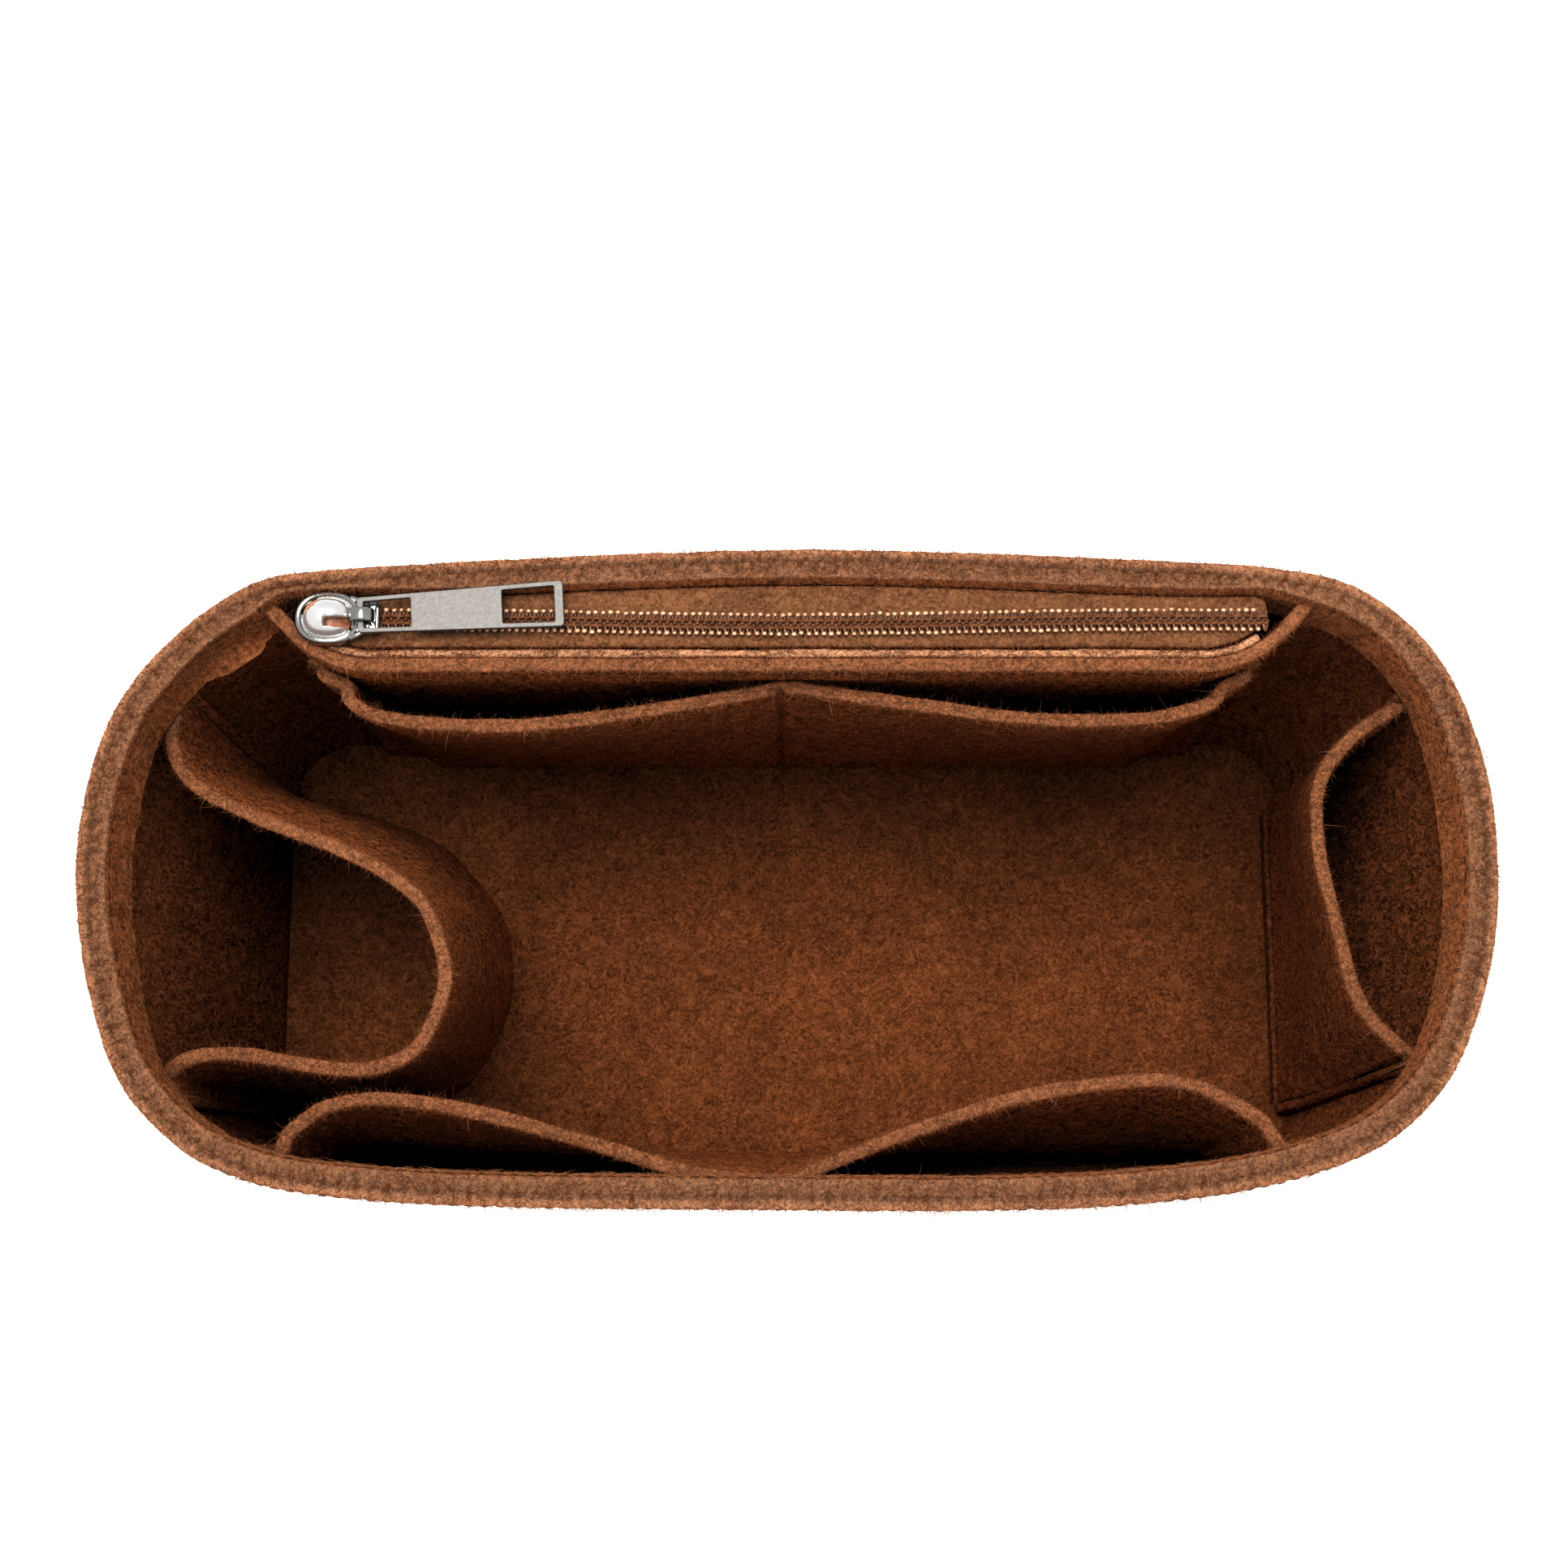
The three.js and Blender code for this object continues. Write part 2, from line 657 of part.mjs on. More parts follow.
function sliderBody() {
  const upperBottom = coilTop + seamGap;
  const flangeBottom = zipPanelTop + seamGap;
  const lowerTop = tapeUnderside - seamGap;
  const lowerBottom = lowerTop - sliderPlate;
  const outline = sliderOutline(sliderNoseX, sliderNoseWidth, sliderTailX, sliderTailWidth);
  const upper = toManifold(plate(outline, flangeBottom, sliderTop));
  const channelHalf = coilGap / 2 + coilWidth + seamGap;
  const channel = toManifold(
    box(
      sliderNoseX - sliderPlate, chainY - channelHalf, flangeBottom - sliderPlate,
      sliderTailX + sliderPlate, chainY + channelHalf, upperBottom,
    ),
  );
  const lowerOutline = sliderOutline(
    sliderNoseX + sliderLowerInset, sliderLowerNoseWidth, sliderTailX, sliderLowerNoseWidth,
  );
  const lower = toManifold(plate(lowerOutline, lowerBottom, lowerTop));
  const postX = sliderNoseX + postInset;
  const post = toManifold(
    plate(
      [
        new THREE.Vector2(postX, chainY),
        new THREE.Vector2(postX + postLength / 2, chainY - postWidth / 2),
        new THREE.Vector2(postX + postLength, chainY),
        new THREE.Vector2(postX + postLength / 2, chainY + postWidth / 2),
      ],
      lowerTop - sliderPlate / 2,
      upperBottom + sliderPlate / 2,
    ),
  );
  return fromManifold(upper.subtract(channel).add(lower).add(post));
}

const crownNoseX = sliderNoseX + crownNoseInset;
const crownTailX = sliderTailX - crownTailInset;
const hingeX = crownTailX - crownFootLength - seamGap - pullBarLength / 2 - seamGap;

// The bridge over the pull's bar, drawn from the side.
function sliderCrown() {
  const foot = sliderTop + seamGap;
  const inside = hingeHeight + pullThickness / 2 + 2 * seamGap;
  const top = inside + crownThickness;
  const innerNoseX = crownNoseX + crownFootLength;
  const innerTailX = crownTailX - crownFootLength;
  const side = new THREE.Shape();
  side.moveTo(crownNoseX, foot);
  side.bezierCurveTo(crownNoseX, top, crownNoseX + crownFootLength, top, innerNoseX + crownFootLength, top);
  side.lineTo(innerTailX - crownFootLength, top);
  side.bezierCurveTo(innerTailX, top, crownTailX, top, crownTailX, foot);
  side.lineTo(innerTailX, foot);
  side.lineTo(innerTailX, inside);
  side.lineTo(innerNoseX + crownFootLength, inside);
  side.lineTo(innerNoseX, foot);
  side.closePath();
  const outline = side.getPoints(5);
  const geometry = new THREE.ExtrudeGeometry(new THREE.Shape(outline), {
    depth: crownWidth,
    bevelEnabled: false,
  });
  return geometry.rotateX(Math.PI / 2).translate(0, chainY + crownWidth / 2, 0);
}

// The pull lies along the chain, turned a little: bar, near window, plate, far window and end bar.
function pullTab() {
  const startX = hingeX - pullBarLength / 2;
  const endX = startX + pullLength;
  const halfAt = (x) =>
    THREE.MathUtils.lerp(pullHingeWidth, pullTipWidth, (x - startX) / pullLength) / 2;
  const corner = (x, way, inset) => new THREE.Vector2(x, chainY + way * (halfAt(x) - inset));
  const frame = (lowX, highX, inset) => [
    corner(lowX, -1, inset),
    corner(highX, -1, inset),
    corner(highX, 1, inset),
    corner(lowX, 1, inset),
  ];
  const nearX = startX + pullBarLength;
  const plateX = nearX + pullNearWindow;
  const farX = plateX + pullPlateLength;
  const holes = [
    frame(nearX, plateX, pullRail),
    frame(farX, endX - pullTipBar, pullRail),
  ];
  const flatPull = plate(
    frame(startX, endX, 0),
    hingeHeight - pullThickness / 2,
    hingeHeight + pullThickness / 2,
    holes,
  );
  return flatPull
    .translate(-hingeX, -chainY, 0)
    .rotateZ(THREE.MathUtils.degToRad(pullTurnDegrees))
    .translate(hingeX, chainY, 0);
}

// The pockets

const wallPocketHeights = rowShares.map((share) => THREE.MathUtils.lerp(levelOfBase, wallPocketTop, share));

const frontPocket = wallPocket({
  span: frontPocketSpanShares,
  shares: frontPocketShares,
  bulge: frontPocketBulge,
  columns: 40,
});

const endPocket = wallPocket({
  span: endPocketSpanShares,
  shares: endPocketShares,
  bulge: endPocketBulge,
  columns: 22,
});

// The bottle loop's middle line at a height: each point is measured from the wall beside it.
function bottleLoopLine(z, rise) {
  const wall = wallOutline(z, felt + seamGap + felt / 2);
  const pairs = loopTopShares.map(([reachTop, spanTop], i) => {
    const [reachFoot, spanFoot] = loopFootShares[i];
    const y = loopHalfSpan * THREE.MathUtils.lerp(spanFoot, spanTop, rise);
    const out = loopReach * THREE.MathUtils.lerp(reachFoot, reachTop, rise);
    return [across(wall, y, "x", -1) + out, y];
  });
  return smooth(pairs, 48);
}

function bottleLoop() {
  const lines = wallPocketHeights.map((z, k) => bottleLoopLine(z, rowShares[k]));
  const near = lines.map((line) => offset(line, -felt / 2));
  const far = lines.map((line) => offset(line, felt / 2));
  return { geometry: sheet(wallPocketHeights, near, far), heights: wallPocketHeights, far };
}

const loop = bottleLoop();

// The whole insert
const insert = new THREE.Group();
insert.add(
  piece("base_panel", basePanel(), feltMaterial),
  piece("wall_band", wallBody(), feltMaterial),
  piece("rim_facing", rimFacing(), feltMaterial),
  piece("zip_pocket_panel", zipPocketPanel(), feltMaterial),
  piece("zip_facing", zipFacing(), feltMaterial),
  piece("back_slip_pocket", backPocket.geometry, feltMaterial),
  piece("front_slip_pocket", frontPocket.geometry, feltMaterial),
  piece("end_pocket", endPocket.geometry, feltMaterial),
  piece("bottle_loop", loop.geometry, feltMaterial),
  piece("zip_tape_rear", rearTape(), tapeMaterial),
  piece("zip_tape_front", frontTape(), tapeMaterial),
  piece("zip_coil_rear", coil(1), coilMaterial),
  piece("zip_coil_front", coil(-1), coilMaterial),
  piece("slider_body", sliderBody(), metalMaterial),
  piece("slider_crown", sliderCrown(), metalMaterial),
  piece("pull_tab", pullTab(), metalMaterial),
  piece("rim_thread_outside", rimThreadOutside(), threadMaterial),
  piece("rim_thread_inside", rimThreadInside(), threadMaterial),
  piece("base_thread", baseThread(), threadMaterial),
  piece("zip_thread_front", zipThread(), threadMaterial),
  piece("zip_thread_rear", tapeThreadRear(), threadMaterial),
  piece("back_pocket_thread_right", seamDown(backPocket, edgeSeamShare), threadMaterial),
  piece("back_pocket_thread_middle", seamDown(backPocket, middleSeamShare), threadMaterial),
  piece("back_pocket_thread_left", seamDown(backPocket, 1 - edgeSeamShare), threadMaterial),
  piece("front_pocket_thread_left", seamDown(frontPocket, edgeSeamShare), threadMaterial),
  piece("front_pocket_thread_middle", seamDown(frontPocket, frontMiddleSeamShare), threadMaterial),
  piece("front_pocket_thread_right", seamDown(frontPocket, 1 - edgeSeamShare), threadMaterial),
  piece("end_pocket_thread_front", seamDown(endPocket, endEdgeSeamShare), threadMaterial),
  piece("end_pocket_thread_back", seamDown(endPocket, 1 - endEdgeSeamShare), threadMaterial),
  piece("loop_thread_back", seamDown(loop, edgeSeamShare), threadMaterial),
  piece("loop_thread_front", seamDown(loop, 1 - edgeSeamShare), threadMaterial),
);

export default insert;
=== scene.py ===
"""Looks for the felt purse organizer insert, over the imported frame.

Places are worked out in millimetres, as in the CAD model, and turned into metres when a mesh is made.
"""

import math

import bmesh
import bpy
import numpy as np
from mathutils import Matrix, Vector


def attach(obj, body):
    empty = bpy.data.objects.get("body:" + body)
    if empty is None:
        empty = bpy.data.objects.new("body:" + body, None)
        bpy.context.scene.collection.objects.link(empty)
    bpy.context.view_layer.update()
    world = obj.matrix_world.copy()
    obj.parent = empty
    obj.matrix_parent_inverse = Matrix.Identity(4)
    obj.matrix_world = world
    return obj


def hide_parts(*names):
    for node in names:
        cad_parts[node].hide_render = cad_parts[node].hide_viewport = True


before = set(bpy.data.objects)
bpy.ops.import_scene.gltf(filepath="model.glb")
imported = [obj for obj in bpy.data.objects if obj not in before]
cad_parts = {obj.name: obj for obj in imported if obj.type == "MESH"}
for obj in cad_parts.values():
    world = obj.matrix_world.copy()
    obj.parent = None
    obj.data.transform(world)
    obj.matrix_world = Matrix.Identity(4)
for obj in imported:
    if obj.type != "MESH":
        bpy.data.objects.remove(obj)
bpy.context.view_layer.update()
MM = 0.001

# The tub, in the sizes of the CAD model
RIM_LENGTH = 260
RIM_WIDTH = 121.8
HEIGHT = 140
BASE_LENGTH = 246.8
BASE_WIDTH = 107.2
BASE_CORNER_RADIUS = 18
FELT = 2.6
SEAM_GAP = 0.3
FACING_HEIGHT = 15
FACING_THICKNESS = 2.6
FACING_THINNEST = 0.6

# The zipped pocket
ZIP_POCKET_HALF_LENGTH = 96
ZIP_POCKET_Y = 40.8
ZIP_PANEL_TOP = 136.6
ZIP_FACING_THICKNESS = 1.5
ZIP_FACING_HEIGHT = 12
ZIP_FACING_INSET = 17
CHAIN_Y = 47.8
CHAIN_LEFT_X = -89
TAPE_THICKNESS = 0.5
TAPE_LEG_HEIGHT = 8
TAPE_HALF_LENGTH = 87
COIL_WIDTH = 1.5
COIL_HEIGHT = 1.2
COIL_GAP = 1.6
TOOTH_PITCH = 1.4

# The slider and its pull
SLIDER_NOSE_X = -92
SLIDER_LENGTH = 16
SLIDER_NOSE_WIDTH = 10.2
SLIDER_PLATE = 1.3
SLIDER_LOWER_WIDTH = 5.6
SLIDER_LOWER_INSET = 2.6
POST_LENGTH = 3.4
POST_INSET = 3.2
CROWN_WIDTH = 3.2
CROWN_THICKNESS = 1
CROWN_TAIL_INSET = 0.4
CROWN_FOOT_LENGTH = 1.7
PULL_LENGTH = 38.4
PULL_THICKNESS = 1
PULL_HINGE_WIDTH = 6.8
PULL_TIP_WIDTH = 8.8
PULL_RAIL = 0.9
PULL_BAR_LENGTH = 1.2
PULL_NEAR_WINDOW = 8.8
PULL_PLATE_LENGTH = 17
PULL_TIP_BAR = 1.7
PULL_TURN_DEGREES = 3.5

# The slip pockets and the bottle loop
WALL_POCKET_TOP = 124
BACK_POCKET_TOP = 127
FRONT_POCKET_BULGE = 17.4
BACK_POCKET_BULGE = 7.5
END_POCKET_BULGE = 23.9
LOOP_REACH = 58.7
LOOP_HALF_SPAN = 38
BULGE_GROWTH = 1.3
FRONT_POCKET_SPAN = (0.5915, 0.9)
END_POCKET_SPAN = (0.939, 1.055)
BACK_POCKET_SPAN = (4 / 66, 62 / 66)

# What follows from these sizes
LEVEL_OF_BASE = FELT + SEAM_GAP
FACING_INSET = FELT + SEAM_GAP
FACING_UNDERSIDE = HEIGHT - FACING_HEIGHT
COIL_UNDERSIDE = ZIP_PANEL_TOP + SEAM_GAP
COIL_TOP = COIL_UNDERSIDE + COIL_HEIGHT
CHANNEL_TOP = COIL_TOP + SEAM_GAP
SLIDER_TOP = CHANNEL_TOP + SLIDER_PLATE
HINGE_HEIGHT = SLIDER_TOP + SEAM_GAP + PULL_THICKNESS / 2 + SEAM_GAP
CROWN_UNDERSIDE = HINGE_HEIGHT + PULL_THICKNESS / 2 + 2 * SEAM_GAP
SLIDER_TAIL_X = SLIDER_NOSE_X + SLIDER_LENGTH
HINGE_X = SLIDER_TAIL_X - CROWN_TAIL_INSET - CROWN_FOOT_LENGTH - PULL_BAR_LENGTH / 2 - 2 * SEAM_GAP

# Shapes as shares of the sizes above, as in the CAD model
RIM_SHARES = [
    (1, 0.06), (0.984, 0.373), (0.938, 0.634), (0.873, 0.8), (0.805, 0.892), (0.715, 0.936), (0.385, 0.979),
    (0.03, 1), (-0.346, 0.975), (-0.677, 0.931), (-0.746, 0.91), (-0.812, 0.839), (-0.885, 0.708),
    (-0.962, 0.475), (-1, 0.094), (-0.978, -0.314), (-0.923, -0.629), (-0.835, -0.823), (-0.738, -0.92),
    (-0.569, -0.974), (-0.077, -1), (0.462, -0.987), (0.699, -0.911), (0.835, -0.79), (0.921, -0.601),
    (0.982, -0.276),
]
ZIP_PANEL_RIGHT = [(1, 0), (0.975, 0.32), (0.94, 0.64), (0.89, 0.88), (0.83, 1), (0.76, 1), (0.4, 1)]
ZIP_PANEL_SHARES = [*ZIP_PANEL_RIGHT, (0, 1), *((-along, out) for along, out in ZIP_PANEL_RIGHT[::-1])]
BACK_POCKET_SHARES = [
    (0, 0), (0.012, 0), (0.04, 0.42), (0.084, 0.74), (0.127, 0.84), (0.196, 0.86), (0.256, 0.77),
    (0.342, 0.5), (0.419, 0.26), (0.47, 0.08), (0.495, 0), (0.505, 0), (0.53, 0.1), (0.575, 0.3),
    (0.645, 0.57), (0.732, 0.85), (0.8, 1), (0.854, 0.99), (0.906, 0.92), (0.949, 0.74), (0.976, 0.4),
    (0.99, 0), (1, 0),
]
FRONT_POCKET_SHARES = [
    (0, 0), (0.02, 0), (0.045, 0.4), (0.08, 0.69), (0.12, 0.78), (0.16, 0.775), (0.22, 0.68), (0.28, 0.52),
    (0.34, 0.33), (0.4, 0.13), (0.45, 0.02), (0.48, 0), (0.505, 0), (0.54, 0.165), (0.6, 0.445),
    (0.66, 0.68), (0.72, 0.88), (0.78, 0.98), (0.845, 1), (0.89, 0.9), (0.92, 0.71), (0.95, 0.42),
    (0.98, 0), (1, 0),
]
END_POCKET_SHARES = [
    (0, 0), (0.02, 0), (0.05, 0.2), (0.085, 0.42), (0.13, 0.58), (0.2, 0.71), (0.3, 0.82), (0.42, 0.92),
    (0.52, 0.985), (0.6, 1), (0.68, 0.99), (0.76, 0.95), (0.83, 0.85), (0.885, 0.68), (0.925, 0.45),
    (0.97, 0), (1, 0),
]
LOOP_TOP_SHARES = [
    (0, 1), (0, 0.92), (0.035, 0.77), (0.1, 0.6), (0.2, 0.47), (0.35, 0.36), (0.5, 0.27), (0.66, 0.18),
    (0.81, 0.07), (0.94, -0.09), (0.99, -0.29), (0.99, -0.48), (0.93, -0.67), (0.83, -0.835),
    (0.69, -0.915), (0.56, -0.92), (0.42, -0.885), (0.29, -0.85), (0.17, -0.85), (0.075, -0.89),
    (0.003, -0.97), (0.006, -1.08),
]
LOOP_FOOT_SHARES = [
    (0, 1), (0, 0.95), (0.04, 0.9), (0.13, 0.88), (0.28, 0.84), (0.43, 0.76), (0.6, 0.63), (0.71, 0.46),
    (0.8, 0.29), (0.86, 0.1), (0.88, -0.1), (0.88, -0.26), (0.85, -0.46), (0.8, -0.64), (0.73, -0.8),
    (0.61, -0.93), (0.48, -0.98), (0.34, -0.99), (0.2, -0.985), (0.08, -0.96), (0.003, -0.98),
    (0.006, -1.08),
]

# What only the scene shows: felt and tapes that run on into their seams, and the chain's bow
BACK_POCKET_SHOWN = (0.047, 0.96)
PANEL_END_REACH = 1.5
POCKET_END_SINK = 2.0
ZIP_FACING_SHOWN_HALF = 89
TAPE_SHOWN_HALF = 90.6
TAPE_BEND = 0.7
CHAIN_SHOWN_TO_X = 90.4
CHAIN_BOW = 0.9
CHAIN_STRAIGHT_FROM = 72
TEETH = int((CHAIN_SHOWN_TO_X - CHAIN_LEFT_X) / TOOTH_PITCH)
CORD_FROM_CHAIN = 0.68
CORD_RADIUS = 0.35
COIL_WIRE = 0.3
COIL_OVERLAP = 0.35
HEAD_FROM_CHAIN = 1.85
HEAD_RADII = np.array([0.46, 0.38, 0.3])
POST_WIDTH = 0.3
CUP_TAIL_X = -79.4

# How finely the felt is divided, and how its edges and seams look
WALL_STATIONS = 1440
CAD_STATIONS = 72
WALL_LEVELS = 40
PANEL_COLUMNS = 420
BACK_POCKET_COLUMNS = 400
EDGE_STEPS = 5
EDGE_ROUND = 0.7
EDGE_BAND = 1.6
EDGE_FADE = 1.2
EDGE_RAGGED = 0.12
DENT_WIDTH = 0.8
DENT_DEPTH = 1.1
STITCH_PITCH = 2.9
STITCH_COVER = 0.74
STITCH_RADIUS = 0.19
STITCH_LIFT = 0.2
HOLE_DEPTH = 0.75
HOLES_FAR = (0, 0.3, 1)
HOLES_NEAR = (1, 0.3, 0)


# Curves

def lerp(a, b, share):
    return a + (b - a) * share


def unit(rows):
    return rows / np.linalg.norm(rows, axis=1)[:, None]


def looped(points):
    return np.vstack([points, points[:1]])


def level(row, z):
    """Raises the points of a plan to one height."""
    return np.column_stack([row, np.full(len(row), z)])


def distances(line):
    """How far along a line each of its points lies."""
    return np.concatenate([[0], np.cumsum(np.linalg.norm(np.diff(line, axis=0), axis=1))])


def at(wanted, along, rows):
    """What lies between the rows at the wanted distances."""
    return np.column_stack([np.interp(wanted, along, column) for column in rows.T])


def round_turns(count):
    return np.linspace(0, 2 * math.pi, count, endpoint=False)


def spline(points, closed=False, steps=40):
    """A centripetal Catmull-Rom curve through the points, finely divided."""
    p = np.asarray(points, float)
    if closed:
        p = np.vstack([p[-1:], p, p[:2]])
    else:
        p = np.vstack([2 * p[0] - p[1], p, 2 * p[-1] - p[-2]])
    u = np.linspace(0, 1, steps, endpoint=False)[:, None]
    rows = []
    for p0, p1, p2, p3 in zip(p, p[1:], p[2:], p[3:]):
        d0, d1, d2 = (max(np.linalg.norm(b - a) ** 0.5, 1e-4) for a, b in ((p0, p1), (p1, p2), (p2, p3)))
        m1 = ((p1 - p0) / d0 - (p2 - p0) / (d0 + d1) + (p2 - p1) / d1) * d1
        m2 = ((p2 - p1) / d1 - (p3 - p1) / (d1 + d2) + (p3 - p2) / d2) * d1
        rows.append(p1 + m1 * u + (3 * (p2 - p1) - 2 * m1 - m2) * u**2 + (2 * (p1 - p2) + m1 + m2) * u**3)
    if not closed:
        rows.append(p[-2:-1])
    return np.vstack(rows)


def even(points, count, closed=False):
    """Divides a line of points into lengths that are all alike."""
    line = looped(points) if closed else points
    along = distances(line)
    return at(np.linspace(0, along[-1], count, endpoint=not closed), along, line)


def normals(points, closed=False):
    """The left normal at each point: on the wall it points into the tub."""
    way = np.roll(points, -1, 0) - np.roll(points, 1, 0) if closed else np.gradient(points, axis=0)
    way = unit(way)
    return np.column_stack([-way[:, 1], way[:, 0]])


def offset(points, distance, closed=False):
    return points + normals(points, closed) * np.reshape(distance, (-1, 1))


def rim_outline():
    curve = spline([(x * RIM_LENGTH / 2, y * RIM_WIDTH / 2) for x, y in RIM_SHARES], closed=True)
    points = even(curve, WALL_STATIONS, closed=True)
    low, high = points.min(0), points.max(0)
    return (points - (low + high) / 2) * np.array([RIM_LENGTH, RIM_WIDTH]) / (high - low)


def base_outline(corner_steps=12):
    radius = BASE_CORNER_RADIUS
    points = [(BASE_LENGTH / 2, 0)]
    for corner, (sx, sy) in enumerate([(1, 1), (-1, 1), (-1, -1), (1, -1)]):
        x, y = sx * (BASE_LENGTH / 2 - radius), sy * (BASE_WIDTH / 2 - radius)
        for turn in np.linspace(corner, corner + 1, corner_steps + 1) * math.pi / 2:
            points.append((x + radius * math.cos(turn), y + radius * math.sin(turn)))
    return even(np.array(points, float), WALL_STATIONS, closed=True)


RIM = rim_outline()
BASE = base_outline()


def wall_outline(z, inset):
    return offset(lerp(BASE, RIM, z / HEIGHT), inset, closed=True)


def facing_insets():
    """The rim facing's inner face at each station: it is pressed thinner beside the zip."""
    rim = RIM[:: WALL_STATIONS // CAD_STATIONS]
    room = rim[:, 1] - FACING_INSET - CHAIN_Y - SLIDER_NOSE_WIDTH / 2 - SEAM_GAP
    beside = (rim[:, 1] > 0) & (np.abs(rim[:, 0]) < ZIP_POCKET_HALF_LENGTH)
    thickness = np.where(beside, np.clip(room, FACING_THINNEST, FACING_THICKNESS), FACING_THICKNESS)
    stations = np.linspace(0, CAD_STATIONS, WALL_STATIONS, endpoint=False)
    return FACING_INSET + np.interp(stations, np.arange(CAD_STATIONS + 1), [*thickness, thickness[0]])


FACING_INSETS = facing_insets()


def at_share(points, shares):
    """Places and normals at shares of the way round a closed outline."""
    line = looped(points)
    along = distances(line)
    wanted = (np.asarray(shares) % 1) * along[-1]
    return at(wanted, along, line), at(wanted, along, looped(normals(points, closed=True)))


def across(points, place, axis, way):
    """Where a line across the tub meets an outline."""
    other = 1 - axis
    a, b = points, np.roll(points, -1, 0)
    crossing = ((a[:, other] - place) * (b[:, other] - place) <= 0) & (a[:, other] != b[:, other])
    a, b = a[crossing], b[crossing]
    values = a[:, axis] + (b[:, axis] - a[:, axis]) * (place - a[:, other]) / (b[:, other] - a[:, other])
    return values.max() if way > 0 else values.min()


def growth(z, top):
    return np.clip((z - LEVEL_OF_BASE) / (top - LEVEL_OF_BASE), 0, 1) ** BULGE_GROWTH


# Looks

MATT_FROM = 0.6
MATT_SPECULAR = 0.05
UPRIGHT_STRETCH = (1, 1, 0.4)

# Felt's fibres, clumps, tangles and clouds: scale, detail, distortion and roughness of each noise
FELT_NOISES = ((2000, 3, 1.0, 0.7), (620, 3, 2.2, 0.62), (230, 4, 2.6, 0.62), (45, 3))
CLOUD_SHADES = ((0.78, 0.77, 0.76), (1.16, 1.14, 1.12))
SHADOW_SHARE = 0.42
GLINT_SHARE = 1.5
SHEEN_TINTS = ((0.05, 0.014, 0.003), (0.66, 0.25, 0.09))


class Look:
    """A material, with short ways to add nodes to it."""

    def __init__(self, name, colour, roughness, metallic=0.0):
        self.made = bpy.data.materials.new(name)
        self.made.use_nodes = True
        self.made.diffuse_color = (*colour, 1)
        self.tree = self.made.node_tree
        self.shader = self.tree.nodes["Principled BSDF"]
        self.fill(self.shader, {"Base Color": (*colour, 1), "Roughness": roughness, "Metallic": metallic})
        if roughness > MATT_FROM:
            self.fill(self.shader, {"Specular IOR Level": MATT_SPECULAR})

    def fill(self, node, values):
        """Links a node's inputs to the sockets among the values, and sets the others."""
        for name, value in values.items():
            if isinstance(value, bpy.types.NodeSocket):
                self.tree.links.new(value, node.inputs[name])
            else:
                node.inputs[name].default_value = value

    def add(self, kind, output, **values):
        node = self.tree.nodes.new(kind)
        self.fill(node, values)
        return node.outputs[output]

    def noise(self, coords, scale, detail, distortion=0.0, roughness=0.6):
        return self.add("ShaderNodeTexNoise", "Fac", Vector=coords, Scale=scale, Detail=detail,
                        Distortion=distortion, Roughness=roughness)

    def ramp(self, value, stops, colours):
        node = self.tree.nodes.new("ShaderNodeValToRGB")
        while len(node.color_ramp.elements) < len(stops):
            node.color_ramp.elements.new(0.5)
        for element, stop, colour in zip(node.color_ramp.elements, stops, colours):
            element.position = stop
            element.color = (*colour, 1)
        self.fill(node, {"Fac": value})
        return node.outputs["Color"]

    def mix(self, factor, a, b, blend="MIX"):
        node = self.tree.nodes.new("ShaderNodeMix")
        node.data_type = "RGBA"
        node.blend_type = blend
        self.fill(node, {"Factor": factor, "A": a, "B": b})
        return node.outputs["Result"]

    def attribute(self, name, output):
        node = self.tree.nodes.new("ShaderNodeAttribute")
        node.attribute_name = name
        return node.outputs[output]

    def bump(self, height, strength, distance, **below):
        below.update(Height=height, Strength=strength, Distance=distance)
        return self.add("ShaderNodeBump", "Normal", **below)


